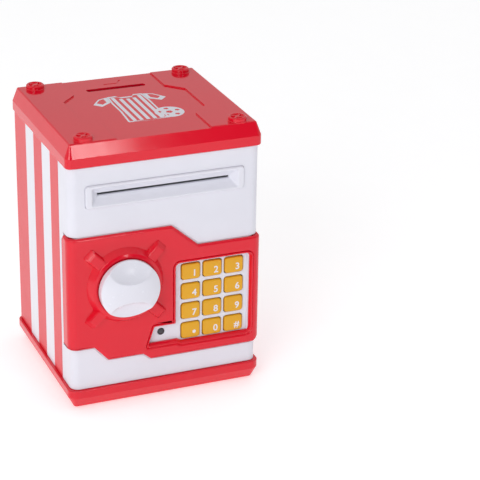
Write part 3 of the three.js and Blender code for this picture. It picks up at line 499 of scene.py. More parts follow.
class Wrap:
    """Bends a flat plate round the front and both sides of a box with rounded upright corners."""

    def __init__(self, half_width, face_y, radius):
        self.half_width, self.face_y, self.radius = half_width, face_y, radius
        self.flat = half_width - radius
        self.quarter = radius * math.pi / 2

    def reach(self, y):
        """Distance along the surface, from the middle of the front to this place on a side."""
        return self.flat + self.quarter + (y - self.face_y - self.radius)

    def point(self, along, z, height):
        side = -1 if along < 0 else 1
        past = abs(along) - self.flat
        if past <= 0:
            return Vector((along, self.face_y - height, z))
        if past >= self.quarter:
            y = self.face_y + self.radius + past - self.quarter
            return Vector((side * (self.half_width + height), y, z))
        angle = past / self.radius
        arm = self.radius + height
        x = side * (self.flat + arm * math.sin(angle))
        return Vector((x, self.face_y + self.radius - arm * math.cos(angle), z))

    def bend(self, mesh, steps=8):
        for side in (-1, 1):
            for k in range(steps + 1):
                cut = side * (self.flat + self.quarter * k / steps)
                parts = [*mesh.verts, *mesh.edges, *mesh.faces]
                where = {"plane_co": (cut, 0, 0), "plane_no": (1, 0, 0)}
                bmesh.ops.bisect_plane(mesh, geom=parts, dist=1e-5, **where)
        for vert in mesh.verts:
            vert.co = self.point(vert.co.x, vert.co.y, vert.co.z)
        return mesh


def carve(piece, *cutters):
    """Cuts other meshes, in millimetres, out of a piece."""
    for cutter in cutters:
        bmesh.ops.recalc_face_normals(cutter, faces=cutter.faces)
        bmesh.ops.scale(cutter, vec=(MM, MM, MM), verts=cutter.verts)
        data = bpy.data.meshes.new("cutter")
        cutter.to_mesh(data)
        cutter.free()
        tool = bpy.data.objects.new("cutter", data)
        bpy.context.scene.collection.objects.link(tool)
        step = piece.modifiers.new("cut", "BOOLEAN")
        step.solver = "EXACT"
        step.object = tool
        for other in [m for m in piece.modifiers if m is not step and m.type != "BOOLEAN"]:
            other.show_viewport = False
        result = piece.evaluated_get(bpy.context.evaluated_depsgraph_get())
        carved = bpy.data.meshes.new_from_object(result)
        piece.modifiers.remove(step)
        for other in piece.modifiers:
            other.show_viewport = True
        old, piece.data = piece.data, carved
        bpy.data.meshes.remove(old)
        bpy.data.objects.remove(tool)
        bpy.data.meshes.remove(data)
    piece.data.shade_smooth()
    piece.data.set_sharp_from_angle(angle=math.radians(32))
    return piece


def hull(points, edge, steps=2):
    """The convex solid round some points, with rounded edges."""
    mesh = bmesh.new()
    for point in points:
        mesh.verts.new(point)
    bmesh.ops.convex_hull(mesh, input=mesh.verts)
    bmesh.ops.dissolve_limit(mesh, angle_limit=0.02, verts=mesh.verts, edges=mesh.edges)
    bmesh.ops.bevel(mesh, geom=[*mesh.verts, *mesh.edges], offset=edge, segments=steps, affect="EDGES")
    return mesh


def block(low, high, edge=0.3):
    corners = [(x, y, z) for x in (low[0], high[0]) for y in (low[1], high[1]) for z in (low[2], high[2])]
    return hull(corners, edge)


# ---- Case, base and lid ---------------------------------------------------------------------
def build_case():
    """The red case with its printed stripes, open at the front."""
    wall = 2.2
    front = CASE_LOW.y
    outer = rounded(rectangle(-HALF_W, HALF_W, front, BACK), [0, 0, 2.5, 2.5], 8)
    inner = rounded(rectangle(-HALF_W + wall, HALF_W - wall, front, BACK - wall), [0, 0, 0.8, 0.8], 8)
    cut = [p for p in outer if p.y > front + 0.01]
    ends = [Vector((HALF_W, front)), *cut, Vector((-HALF_W, front))]
    back = [Vector((-HALF_W + wall, front)), *reversed([p for p in inner if p.y > front + 0.01])]
    outline = [*ends, *back, Vector((HALF_W - wall, front))]
    walls = plate(outline, thickness=CASE_HIGH.z - CASE_LOW.z, edge=0.25)
    place(walls, Matrix.Translation((0, 0, CASE_HIGH.z)))
    make("case_walls", walls, "striped_plastic", "casing", ["body_shell"])


def ring_of(profile, corner, steps=10):
    """Loops round the case, one for each (outset, height) of a profile."""
    return [[(x, y, h) for x, y in round_block(o, max(corner + o, 0.4), steps)] for o, h in profile]


def build_base():
    """The flared red base with its battery cover, speaker slots and screw holes."""
    floor, top = BASE_LOW.z, BASE_HIGH.z
    edge = size("edge")
    rim_low = BASE_TOP - 5.4
    out = BASE_OUT
    shape = [
        (-62, floor), (out - 4.2, floor), (out, rim_low), (out, BASE_TOP), (-2.6, BASE_TOP),
        (-2.6, top), (-4.1, top), (-4.1, floor + FLOOR_THICK), (-62, floor + FLOOR_THICK),
    ]
    profile = rounded(shape, [0, 1.2, 1.0, edge, 0.2, 0.4, 0.4, 0.5, 0], 4, closed=False)
    profile = [p for p in profile if p[0] > -30]
    skin = loft(ring_of(profile, 4.2))
    tray = make("base_shell", skin, "red_plastic", "casing", ["base_tray"])
    cover_low, cover_high = span("battery_cover")
    bay_low = (cover_low.x - 0.4, cover_low.y + 7.4, floor - 3)
    bay = block(bay_low, (cover_high.x + 0.4, cover_high.y + 0.8, floor + 8), 0.5)
    tab = block((-7, cover_low.y - 0.6, floor - 3), (7, cover_low.y + 12, floor + 2.2), 0.5)
    cutters = [bay, tab]
    for node in [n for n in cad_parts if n.startswith(("base_screw_", "foot_"))]:
        low, high = span(node)
        radius = (high.x - low.x) / 2 + 0.3
        depth = 4.4 if node.startswith("base_screw_") else 1.4
        hole = turned([(0, floor - 2), (radius, floor - 2), (radius, floor + depth), (0, floor + depth)], 32)
        cutters.append(place(hole, Matrix.Translation(((low.x + high.x) / 2, (low.y + high.y) / 2, 0))))
    low, high = span("speaker")
    middle = (low + high) / 2
    for step in (-6, -2, 2, 6):
        x = middle.x + step
        cutters.append(block((x - 0.7, middle.y - 7, floor - 2), (x + 0.7, middle.y + 7, floor + 4), 0.3))
    carve(tray, *cutters)


def build_fittings():
    """The battery box and the screw posts inside the base, the case and the front."""
    floor_top, post_top = BASE_LOW.z + FLOOR_THICK, BASE_TOP + LIP_DEPTH
    cells = [span(f"battery_{i}") for i in (1, 2, 3)]
    cover_high = span("battery_cover")[1]
    front, back = min(low.y for low, high in cells) - 0.7, max(high.y for low, high in cells) + 0.7
    half, roof = cover_high.x + 0.4, cells[0][1].z + 1.0

    def wall(out, height):
        edges = rectangle(-half - out, half + out, front - out, back + out)
        return [(x, y, height) for x, y in rounded(edges, 0.4 + out * 0.4, 4)]

    low, high = span("battery_cover_screw")
    screw = Vector(((low.x + high.x) / 2, (low.y + high.y) / 2))
    pad = plate(rectangle(-9, 9, screw.y - 7, front - 0.1), [circle(screw, 1.1, 24)], 3.6, 0.2)
    seat = floor_top - 0.2
    box = [wall(0, roof), wall(0, seat), wall(1.8, seat), wall(1.8, roof + 1.5), wall(1.5, roof + 1.8)]
    pieces = [loft(box), place(pad, Matrix.Translation((0, 0, floor_top + 3.4)))]
    seat_low, seat_high, bore = floor_top + 3.3, floor_top + 8, floor_top + 6
    boss = [(1.1, seat_low), (5, seat_low), (5, seat_high), (0, seat_high), (0, bore), (1.1, bore)]
    pieces.append(place(turned(boss, 32, closed=True), Matrix.Translation((screw.x, screw.y, 0))))
    sleeve = [(2.9, seat), (4.5, seat), (4.5, post_top), (1.6, post_top), (1.6, 5.8), (2.9, 5.8)]
    case_posts, front_posts = [], []
    rows = [
        (FRONT + POST_INSET, front_posts, 28.4),
        (BACK - POST_INSET, case_posts, post_top + 9),
    ]
    for x in (POST_INSET - HALF_W, HALF_W - POST_INSET):
        for y, group, top in rows:
            at = Matrix.Translation((x, y, 0))
            pieces.append(place(turned(sleeve, 32, closed=True), at))
            foot, end = post_top + 0.3, top - 0.6
            post = [(1.45, foot), (4.5, foot), (4.5, top - 0.4), (4.1, top), (0, top), (0, end), (1.45, end)]
            group.append(place(turned(post, 32, closed=True), at))
            side = 1 if x > 0 else -1
            ends = sorted((x + side * 4.2, side * (HALF_W - 2.0)))
            group.append(block((ends[0], y - 1, foot), (ends[1], y + 1, top - 0.3), 0.2))
    make("base_fittings", merge(*pieces), "red_plastic", "casing")
    make("case_posts", merge(*case_posts), "red_plastic", "casing")
    make("front_posts", merge(*front_posts), "white_plastic", "casing")


def lid_field():
    """The sunk field of the lid's top, in X and Y."""
    end = HALF_D + 6
    right = [(32.5, -end), (32.5, -30), (43.5, -18.5), (43.5, 18.5), (32.5, 30), (32.5, end)]
    both = right + [(-x, y) for x, y in reversed(right)]
    return rounded([(x, MID_Y + y) for x, y in both], [0, 1.2, 1.2, 1.2, 1.2, 0] * 2, 4)


def build_lid():
    """The lid, with its sunk field, coin slot and a row of studs."""
    top = LID_HIGH.z - STUD_HEIGHT
    rim = CASE_TOP + LID_RIM
    out = LID_OUT
    shape = [
        (-2.6, LID_LOW.z), (-2.6, CASE_TOP), (out, CASE_TOP), (out, rim), (out - LID_TAPER, top), (-50, top),
    ]
    profile = rounded(shape, [0, 0.3, 0.7, 0.8, size("lid_edge"), 0], 5, closed=False)
    inside = [(-4.1, LID_LOW.z), (-4.1, top - 2.4), (-50, top - 2.4)]
    loops = ring_of([(o, h) for o, h in reversed(inside)] + [tuple(p) for p in profile], 3.0)
    piece = make("lid_shell", loft(loops), "red_plastic", "casing", ["lid"])
    field = plate(lid_field(), thickness=6.0, edge=0.25)
    place(field, Matrix.Translation((0, 0, top + 5.1)))
    slot_y = MID_Y + 37.5
    slot = plate(rounded(rectangle(-21, 21, slot_y - 2.3, slot_y + 2.3), 1.4), thickness=12.0, edge=0.1)
    place(slot, Matrix.Translation((0, 0, top + 4)))
    notch = [(-6.5, 45.5), (4.5, 45.5), (8, 52), (6.6, 52), (3.7, 46.8), (-5.7, 46.8)]
    mark = plate([Vector((x, MID_Y + y)) for x, y in notch], thickness=1.0, edge=0.1)
    place(mark, Matrix.Translation((0, 0, top - FIELD_DEPTH + 0.6)))
    carve(piece, field, slot, mark)
    for x in (STUD_INSET - HALF_W, HALF_W - STUD_INSET):
        for y in (MID_Y - 52.6, MID_Y + 52.6):
            build_stud(x, y, top)


def build_stud(x, y, top):
    """A round stud with a raised rim and a notched cap."""
    height = LID_HIGH.z - top
    outside = [(6.6, -0.6), (6.6, 0.25), (6.2, 0.5), (6.2, height - 0.7), (5.6, height - 0.1), (5.0, height)]
    drops = [(4.5, 0.15), (4.0, 1.0), (1.9, 1.0), (1.5, 0.4), (0, 0.3)]
    dish = [(r, height - drop) for r, drop in drops]
    profile = rounded([(0, -0.6), *outside, *dish], [0, 0.1] + [0.25] * 10, 3, closed=False)
    body = turned([tuple(p) for p in profile], 48)
    ribs = []
    for quarter in range(4):
        rib = block((1.2, -0.7, height - 1.4), (4.9, 0.7, height - 0.35), 0.25)
        ribs.append(place(rib, Matrix.Rotation(math.pi / 4 + quarter * math.pi / 2, 4, "Z")))
    stud = place(merge(body, *ribs), Matrix.Translation((x, y, top)))
    side = "left" if x < 0 else "right"
    end = "front" if y < MID_Y else "back"
    make(f"lid_stud_{end}_{side}", stud, "red_plastic", "casing")


def build_print():
    """A plain striped shirt and a plain ball, printed in white on the lid."""
    ink = size("ink")
    top = LID_HIGH.z - STUD_HEIGHT - FIELD_DEPTH

    def shift(points, radius, steps=4):
        return rounded([(x, MID_Y + y) for x, y in points], radius, steps)

    def mirrored(half):
        return [(-x, y) for x, y in reversed(half)] + half

    trunk = mirrored([
        (4.6, 17.6), (6.4, 20.8), (12.6, 20.4), (13.4, 6), (13.2, -10), (14.6, -30.6), (0.01, -32),
    ])
    seam = mirrored([
        (3.9, 15.6), (5.8, 18.9), (11.3, 18.7), (12.1, 6), (11.9, -10), (13.1, -29), (0.01, -30.4),
    ])
    pieces = [plate(shift(trunk[::-1], 0.8), [shift(seam[::-1], 0.6)], 0.4, 0.02, 1)]
    sleeve = [(12.4, 20.2), (19.5, 17.6), (25.8, 8.6), (21.0, 3.6), (13.0, 9.8)]
    inset = [(15.6, 18.0), (18.9, 16.5), (22.6, 11.2), (19.6, 7.4), (15.6, 11.0)]
    for side in (-1, 1):
        outer = shift([(side * x, y) for x, y in sleeve], 0.8)
        pieces.append(plate(outer, [shift([(side * x, y) for x, y in inset], 0.4)], 0.4, 0.02, 1))
    for x in (-9.4, -4.7, 0.0, 4.7, 9.4):
        top_y = 18.0 if abs(x) > 6 else 14.2 if abs(x) > 1 else 13.4
        bar = shift([(x - 1.25, -29.0), (x + 1.25, -29.0), (x + 1.25, top_y), (x - 1.25, top_y)], 0.25, 2)
        pieces.append(plate(bar, (), 0.4, 0.02, 1))
    for piece in pieces:
        place(piece, Matrix.Translation((0, 0, top + ink)))
    make("lid_print_shirt", merge(*pieces), "white_ink", "casing")
    centre = Vector((17.5, MID_Y - 20.5))
    edge = circle(centre, 10, 48)

    def spot(distance, turn, radius):
        middle = centre + distance * Vector((math.cos(turn), math.sin(turn)))
        corners = [turn + math.pi + k * math.tau / 5 for k in range(5)]
        return rounded([middle + radius * Vector((math.cos(a), math.sin(a))) for a in corners], 0.25, 2)

    spots = [spot(0, math.pi / 2, 2.6)] + [spot(6.6, math.pi / 2 + k * math.tau / 5, 1.9) for k in range(5)]
    disc = place(plate(edge, spots, 0.4, 0.02, 1), Matrix.Translation((0, 0, top + ink + 0.03)))
    make("lid_print_ball", disc, "white_ink", "casing")


# ---- Front ----------------------------------------------------------------------------------
def door_outline(wrap, grow, back, chamfer):
    """The door's stepped outline, flattened: distance along the surface against height."""
    end = wrap.reach(back)
    slant = grow * 0.41
    bottom, top = [z + s * grow for z, s in ((0, -1), (0, 1))]
    return [
        (-end, 44.5 + bottom), (-50.5 - slant, 44.5 + bottom),
        (-41 - slant, 34 + bottom), (-16.5 - slant, 34 + bottom),
        (-11 - slant, 29.6 + bottom), (wrap.flat + 2, 29.6 + bottom),
        (wrap.flat + wrap.quarter, 33 + bottom),
        (end, 33 + bottom), (end, 108.4 + top), (22.6 + slant, 108.4 + top), (4 + slant, 124.5 + top),
        (-end + chamfer, 124.5 + top), (-end, 124.5 + top - chamfer),
    ]


def build_front():
    """The white front: outer skin round the door's seat, inner column, note slot and hinge knuckles."""
    skin = Wrap(HALF_W, FRONT, 6.0)
    back = FRONT_HIGH.y
    side = skin.reach(back)
    low, high = FRONT_LOW.z, FRONT_HIGH.z
    seat_back = DOOR_HIGH.y + 0.4
    seat = door_outline(skin, 0.6, seat_back, 0.6)
    rim = rounded(rectangle(-55, 55, NOTE_Z - 8, NOTE_Z + 8), 2.4)
    edges = [Vector(p) for p in rectangle(-side, side, low, high)]
    outer = plate(edges, [rounded(seat, 0.5, 3), rim], 3.8, 0.3)
    make("front_skin", skin.bend(outer), "white_plastic", "casing", ["front_frame"])

    column = Wrap(HALF_W - 3.6, DOOR_FACE + 2.4, 4.0)
    reach = column.reach(back - 0.4)
    left, right = 7 - HALF_W, HALF_W - 7.5
    corners = [
        (left, 48.5), (-49, 48.5), (-40, 38), (-14.5, 38), (-9, 33.6), (right, 33.6),
        (right, 104.4), (20.6, 104.4), (2.4, 120.5), (left, 120.5),
    ]
    mouth = rounded(corners, 1.2, 4)
    bolt_low, bolt_high = span("latch_bolt")
    at = column.reach((bolt_low.y + bolt_high.y) / 2)
    strikes = [
        rounded(rectangle(-at - 1.6, -at + 1.6, z - 4.4, z + 4.4), 0.4, 3) for z in (72.0, 104.0)
    ]
    edges = [Vector(p) for p in rectangle(-reach, reach, 26, 128)]
    inner = column.bend(plate(edges, [mouth, *strikes], 2.2, 0.3))
    make("front_column", inner, "white_plastic", "casing")

    # Half width, half height, corner and depth behind the front's face, round the rim's section.
    section = [
        (54.9, 7.9, 2.4, 3.2), (54.9, 7.9, 2.4, -0.1), (54.8, 7.8, 2.3, -0.75), (54.5, 7.5, 2.1, -1.08),
        (54.0, 7.0, 1.8, -1.2), (51.2, 6.6, 1.5, -1.2), (50.7, 6.2, 1.3, -1.08), (50.3, 5.9, 1.2, -0.75),
        (48.9, 4.2, 1.0, 1.7), (46.6, 1.7, 0.6, 3.2), (46.0, 1.1, 0.4, 3.5), (45.6, 0.85, 0.3, 4.1),
        (45.5, 0.8, 0.2, 5.3), (46.5, 2.6, 0.5, 5.3), (51.5, 7.4, 1.0, 3.2),
    ]
    loops = []
    for half_x, half_z, corner, depth in section:
        edges = rectangle(-half_x, half_x, NOTE_Z - half_z, NOTE_Z + half_z)
        loops.append([(x, FRONT + depth, z) for x, z in rounded(edges, corner, 5)])
    slot = loft(loops, closed=True)
    make("note_slot_rim", slot, "white_plastic", "casing", angle=50)

    knuckles = []
    for z in (42.0, 96.0):
        corners = [(0, z - 3.6), (2.2, z - 3.6), (2.2, z + 3.6), (0, z + 3.6)]
        barrel = rounded(corners, [0, 0.3, 0.3, 0], 3, closed=False)
        at = Matrix.Translation((HINGE.x, HINGE.y, 0))
        knuckles.append(place(turned([tuple(p) for p in barrel], 32), at))
        knuckles.append(block((HALF_W - 4.6, HINGE.y - 1.4, z - 3.6), (HINGE.x, HINGE.y + 1.4, z + 3.6)))
    make("front_knuckles", merge(*knuckles), "white_plastic", "casing")


# ---- Door -----------------------------------------------------------------------------------
def window(grow, radius=2.4):
    """The keypad window with its wing for the status light, in X and Z, grown by a margin."""
    g = grow
    slant = g * 0.41
    corners = [
        (-12.2 - g, 40.4 - g), (8.5 - slant, 40.4 - g), (11.5 - slant, 38.8 - g),
        (KEYPAD_RIGHT + g, 38.8 - g), (KEYPAD_RIGHT + g, 96 + g),
        (7.5 - g, 96 + g), (7.5 - g, 52 + g), (-7.8 - g * 0.7, 52 + g),
    ]
    bend = radius + g
    return rounded(corners, [0.4 + g * 0.3, 0.4, 0.4, bend, bend, bend, 0.3, 0.8 + g * 0.3], 6)


def build_door():
    """The red door skin with its wrapped sides, the sloped lip round the keypad and the hinge barrels."""
    wrap = Wrap(DOOR_SIDE, DOOR_FACE, 6.0)
    outline = door_outline(wrap, 0, DOOR_HIGH.y, 3.0)
    right = wrap.reach(HINGE.y)
    outline = [(min(x, right), z) for x, z in outline]
    outline = rounded(outline, [0.4, 1, 1, 1, 1, 1, 2, 0.2, 0.2, 1, 1, 0.6, 0.6], 4)
    lip = size("lip")
    shell = wrap.bend(plate(outline, [window(lip)], 2.0, size("door_edge"), 4))
    make("door_skin", shell, "red_plastic", "door", ["door_panel"], angle=50)

    inside = Wrap(DOOR_SIDE - 1.9, DOOR_FACE + 1.9, 4.2)
    column = Wrap(HALF_W - 2.9, DOOR_FACE + 2.35, 4.0)
    returns = []
    for side, top in ((-1, 124.1), (1, 108.0)):
        end = HINGE.y - 3
        steps = [k / 16 for k in range(17)]
        outer, inner = [
            [wall.point(side * (wall.flat - 1 + t * (wall.reach(end) - wall.flat + 1)), 0, 0) for t in steps]
            for wall in (inside, column)
        ]
        shelf = plate([p.xy for p in outer] + [p.xy for p in reversed(inner)], (), 2.4, 0.1, 1)
        returns.append(place(shelf, Matrix.Translation((0, 0, top))))
    make("door_returns", merge(*returns), "red_plastic", "door")

    def ring(grow, depth):
        return [(x, DOOR_FACE + depth, z) for x, z in window(grow)]

    section = [
        (lip + 0.1, 1.6), (lip + 0.05, 0.32), (lip - 0.15, 0.08), (lip - 0.5, 0.0), (lip - 0.9, 0.12),
        (0.35, 1.9), (0.12, 2.3), (0.05, 3.4), (1.2, 3.5), (lip, 2.4),
    ]
    loops = [ring(grow, depth) for grow, depth in section]
    make("keypad_lip", loft(loops, closed=True), "red_plastic", "door", angle=50)

    barrels = []
    for low, high in ((33.0, 38.0), (46.0, 92.0), (100.0, 108.4)):
        corners = [(0, low), (2.2, low), (2.2, high), (0, high)]
        points = rounded(corners, [0, 0.4, 0.4, 0], 3, closed=False)
        at = Matrix.Translation((HINGE.x, HINGE.y, 0))
        barrels.append(place(turned([tuple(p) for p in points], 32), at))
    make("door_barrels", merge(*barrels), "red_plastic", "door")


def build_boss():
    """The conical ring behind the knob and the four lugs that run out from it."""
    cone = [
        (0, -0.4), (26.8, -0.4), (26.4, 0.3), (23.6, 4.6), (21.8, 5.2), (20.6, 5.0), (20.2, 4.2), (0, 4.2),
    ]
    profile = rounded(cone, [0, 0, 0.4, 0.9, 0.5, 0.4, 0.4, 0], 5, closed=False)
    pieces = [turned([tuple(p) for p in profile], 96)]
    lug = [(20, 4.9, -0.6), (36.6, 4.4, -0.6), (36.4, 4.2, 0.3), (33.4, 3.2, 3.4), (20, 3.4, 4.2)]
    for angle in (45, 135, 225, 315):
        corners = []
        for reach, half, height in lug:
            corners += [(reach, -half, height), (reach, half, height)]
        pieces.append(place(hull(corners, 0.45, 3), Matrix.Rotation(math.radians(angle), 4, "Z")))
    boss = place(merge(*pieces), facing(KNOB_AT.x, DOOR_FACE, KNOB_AT.y))
    make("door_boss", boss, "red_plastic", "door")


def build_keypad():
    """The white plate with a rounded hole for each key, and the status light in its wing."""
    holes = []
    for key in KEYS:
        low, high = span(f"key_{key}")
        grow = 0.5 - 0.9
        holes.append(rounded(rectangle(low.x - grow, high.x + grow, low.z - grow, high.z + grow), 2.1, 6))
    low, high = span("status_led")
    centre = Vector(((low.x + high.x) / 2, (low.z + high.z) / 2))
    holes.append(circle(centre, 2.55, 40))
    sheet = place(plate(window(1.8), holes, 1.5, 0.22), facing(0, PLATE_LOW.y, 0))
    make("keypad_face", sheet, "white_plastic", "door", ["keypad_plate"])
    cup = [(0, 0.1), (1.2, 0.05), (1.55, -0.25), (1.9, 0.25), (2.3, 0.3), (2.4, 0.1), (2.4, -3), (0, -3)]
    lens = turned([tuple(p) for p in rounded(cup, [0, 0.3, 0.2, 0.2, 0.15, 0.1, 0, 0], 3, closed=False)], 40)
    place(lens, facing(centre.x, PLATE_LOW.y, centre.y))
    make("status_lens", lens, "lens_plastic", "door", ["status_led"])


# A key's crown: how far each loop stands in from the key's side, and how deep it lies.
CROWN = [(0, 3.4), (0, 0.6), (0.12, 0.3), (0.35, 0.1), (0.8, 0.02), (1.6, -0.04), (3.4, -0.08)]


def build_keys():
    """Twelve crowned keys with printed figures."""
    for key in KEYS:
        low, high = span(f"key_{key}")
        body = f"key_{key}"
        left, right, bottom, top = low.x + 0.9, high.x - 0.9, low.z + 0.9, high.z - 0.9
        loops = []
        for inset, depth in CROWN:
            edges = rectangle(left + inset, right - inset, bottom + inset, top - inset)
            shape = rounded(edges, max(1.9 - inset * 0.5, 0.5), 6)
            loops.append([(x, low.y + depth + 0.1, z) for x, z in shape])
        make(f"{body}_cap", loft(loops), "amber_plastic", body, [body])
        build_figure(key, body, Vector((right - 4.1, low.y, bottom + 4.3)))


def build_figure(key, body, at):
    """The figure on a key: a digit, a hash or a small star."""
    if key == "star":
        turns = [k * math.pi / 6 for k in range(12)]
        points = [Vector((math.cos(a), math.sin(a))) * (1.45 if k % 2 else 1.1) for k, a in enumerate(turns)]
        mesh = plate(rounded(points, 0.2, 2), (), 0.3, 0.02, 1)
    else:
        text = bpy.data.curves.new("figure", "FONT")
        text.body = "#" if key == "hash" else key
        text.size = size("figure") * 1.38
        text.align_x, text.align_y = "CENTER", "CENTER"
        text.extrude = 0.15
        text.offset = 0.12
        mesh = from_curve(text, -0.15)
    figure = place(mesh, facing(at.x, at.y - size("ink"), at.z))
    make(f"{body}_figure", figure, "white_ink", body)


def build_knob():
    """The white knob: a dome with two scoops that leave a waisted grip."""
    back, rim = 5.5, 11.3
    rings, segments = 60, 160
    radius = KNOB_RADIUS

    def height(x, z):
        r = math.hypot(x, z) / radius
        dome = rim + (KNOB_FRONT - rim) * (1 - r ** 2.6)
        depth = 0.0
        for side in (-1, 1):
            away = math.hypot(x, z - side * 34.0) / 27.4
            if away < 1:
                depth = 10.0 * math.sqrt(1 - away * away)
        floor = KNOB_FRONT + 0.1 - depth if depth else KNOB_FRONT + 2
        soft = 0.4
        blend = max(soft - abs(dome - floor), 0) / soft
        return min(dome, floor) - blend * blend * soft / 4

    mesh = bmesh.new()
    rows = [[mesh.verts.new((0, 0, height(0, 0)))]]
    angles = [math.tau * k / segments for k in range(segments)]
    for ring in range(1, rings + 1):
        r = radius * math.sin(math.pi / 2 * ring / rings) * 0.985
        row = [(r * math.cos(a), r * math.sin(a)) for a in angles]
        rows.append([mesh.verts.new((x, z, height(x, z))) for x, z in row])
    for inset, drop in ((0.12, 0.12), (0.03, 0.35), (0, 0.8)):
        r = radius - inset
        near = radius * 0.985
        row = [(a, height(near * math.cos(a), near * math.sin(a)) - drop) for a in angles]
        rows.append([mesh.verts.new((r * math.cos(a), r * math.sin(a), h)) for a, h in row])
    stem = [(radius, back + 0.6), (radius - 0.6, back), (6, back), (6, back - 2), (2.6, back - 2), (2.6, -9)]
    for r, h in stem:
        rows.append([mesh.verts.new((r * math.cos(a), r * math.sin(a), h)) for a in angles])
    rows.append([mesh.verts.new((0, 0, -9))])
    for a, b in zip(rows, rows[1:]):
        for i in range(segments):
            j = (i + 1) % segments
            corners = [a[i % len(a)], a[j % len(a)], b[j % len(b)], b[i % len(b)]]
            mesh.faces.new([v for k, v in enumerate(corners) if v not in corners[:k]])
    cap = place(mesh, facing(KNOB_AT.x, DOOR_FACE, KNOB_AT.y))
    make("knob_cap", cap, "knob_plastic", "knob", ["knob"], angle=60)


# ---- Carried over pieces --------------------------------------------------------------------
CARRIED = {
    "black_rubber": ["foot_", "drive_roller_", "idler_roller_"],
    "steel": [
        "base_screw_", "liner_screw_", "hinge_pin_", "knob_screw", "lock_plunger", "drive_shaft",
        "idler_shaft", "motor_can", "battery_contact_", "battery_cover_screw",
    ],
    "white_plastic": ["door_liner"],
    "grey_plastic": [
        "feeder_frame", "note_guide_upper", "crank_disc", "latch_bolt", "drive_gear", "keypad_membrane",
    ],
    "red_plastic": ["battery_cover"],
    "brass": ["motor_pinion"],
    "winding": ["lock_coil"],
    "board_lacquer": ["main_board", "keypad_board"],
    "cell_sleeve": ["battery_1", "battery_2", "battery_3"],
    "dark_plastic": ["speaker"],
}


def build_workings():
    """Finishes and softened edges for the mechanism and the fixings."""
    finish_for = {}
    for finish, starts in CARRIED.items():
        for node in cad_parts:
            if any(node == s or (s.endswith("_") and node.startswith(s)) for s in starts):
                finish_for[node] = finish
    for node, finish in finish_for.items():
        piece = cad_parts[node]
        piece.data.materials.clear()
        piece.data.materials.append(finish_of(finish))
        soften = piece.modifiers.new("soft edges", "BEVEL")
        soften.width = 0.15 * MM
        soften.segments = 2
        soften.limit_method = "ANGLE"
        soften.angle_limit = math.radians(40)


# ---- Stage ----------------------------------------------------------------------------------
def build_stage():
    """A pale floor, soft studio light and the camera."""
    floor = bmesh.new()
    bmesh.ops.create_grid(floor, x_segments=1, y_segments=1, size=6000)
    ground = make("studio_floor", floor, "white_ink", None)
    shader = Shader("floor_paper")
    paper = shader.noise(30.0, 3.0)
    shader.finish(base_color=shader.mix(paper, (0.87, 0.87, 0.88, 1), (0.9, 0.9, 0.91, 1)), roughness=0.6,
                  emission_color=(1, 1, 1, 1), emission_strength=0.42)
    ground.data.materials.clear()
    ground.data.materials.append(shader.material)

    world = bpy.data.worlds.new("studio_light")
    bpy.context.scene.world = world
    room = Shader("room", world)
    y = room.axes("Generated")[1]
    ahead = room.ramp(y, -0.9, -0.3)
    glow = room.mix(ahead, (0.17, 0.17, 0.19, 1), (1.0, 1.0, 1.0, 1))
    room.feed(room.surface, {"Color": glow, "Strength": 0.66})
    bpy.context.scene.view_settings.view_transform = "Standard"

    for name, place_at, width, height, watts in (
        ("key_softbox", (-0.75, -0.85, 0.75), 0.6, 0.6, 5.4),
        ("strip_softbox", (0.30, -1.2, 0.5), 0.10, 0.3, 0.9),
    ):
        lamp = bpy.data.lights.new(name, "AREA")
        lamp.shape = "RECTANGLE"
        lamp.energy, lamp.size, lamp.size_y = watts, width, height
        holder = bpy.data.objects.new(name, lamp)
        holder.location = place_at
        aim = Vector((0, 0, 0.09)) - Vector(place_at)
        holder.rotation_euler = aim.to_track_quat("-Z", "Y").to_euler()
        bpy.context.scene.collection.objects.link(holder)

    azimuth, elevation, roll = (math.radians(a) for a in (-19.33, 23.48, -0.36))
    yaw, pitch = math.radians(3.24), math.radians(-0.27)
    level_out = math.cos(elevation)
    away = Vector((math.sin(azimuth) * level_out, -math.cos(azimuth) * level_out, math.sin(elevation)))
    ahead = -away
    right = ahead.cross(Vector((0, 0, 1))).normalized()
    up = right.cross(ahead)
    across = right * math.cos(roll) + up * math.sin(roll)
    level = Matrix((across, up * math.cos(roll) - right * math.sin(roll), ahead))
    turn = Matrix(((math.cos(yaw), 0, -math.sin(yaw)), (0, 1, 0), (math.sin(yaw), 0, math.cos(yaw))))
    nod = Matrix(((1, 0, 0), (0, math.cos(pitch), -math.sin(pitch)), (0, math.sin(pitch), math.cos(pitch))))
    rows = nod @ turn @ level
    axes = Matrix((rows[0], rows[1], -rows[2])).transposed()
    lens = bpy.data.cameras.new("camera")
    lens.sensor_width = 36
    lens.lens = 36 * 1855.3 / 480
    camera = bpy.data.objects.new("camera", lens)
    camera.matrix_world = Matrix.Translation(Vector((0, MID_Y, 96)) * MM + away * 1.27972) @ axes.to_4x4()
    bpy.context.scene.collection.objects.link(camera)
    bpy.context.scene.camera = camera


# ---- Operators ------------------------------------------------------------------------------
class COINBANK_OT_stage(bpy.types.Operator):
    """A pale floor, soft studio light and the camera."""

    bl_idname = "coin_bank.stage"
    bl_label = "Stage"

    def execute(self, context):
        build_stage()
        return {"FINISHED"}


class COINBANK_OT_case(bpy.types.Operator):
    """The red case with its printed stripes, open at the front."""

    bl_idname = "coin_bank.case"
    bl_label = "Case"

    def execute(self, context):
        build_case()
        return {"FINISHED"}


class COINBANK_OT_base(bpy.types.Operator):
    """The flared red base with its battery cover, speaker slots and screw holes."""

    bl_idname = "coin_bank.base"
    bl_label = "Base"

    def execute(self, context):
        build_base()
        return {"FINISHED"}


class COINBANK_OT_fittings(bpy.types.Operator):
    """The battery box and the screw posts inside the base, the case and the front."""

    bl_idname = "coin_bank.fittings"
    bl_label = "Battery box and posts"

    def execute(self, context):
        build_fittings()
        return {"FINISHED"}


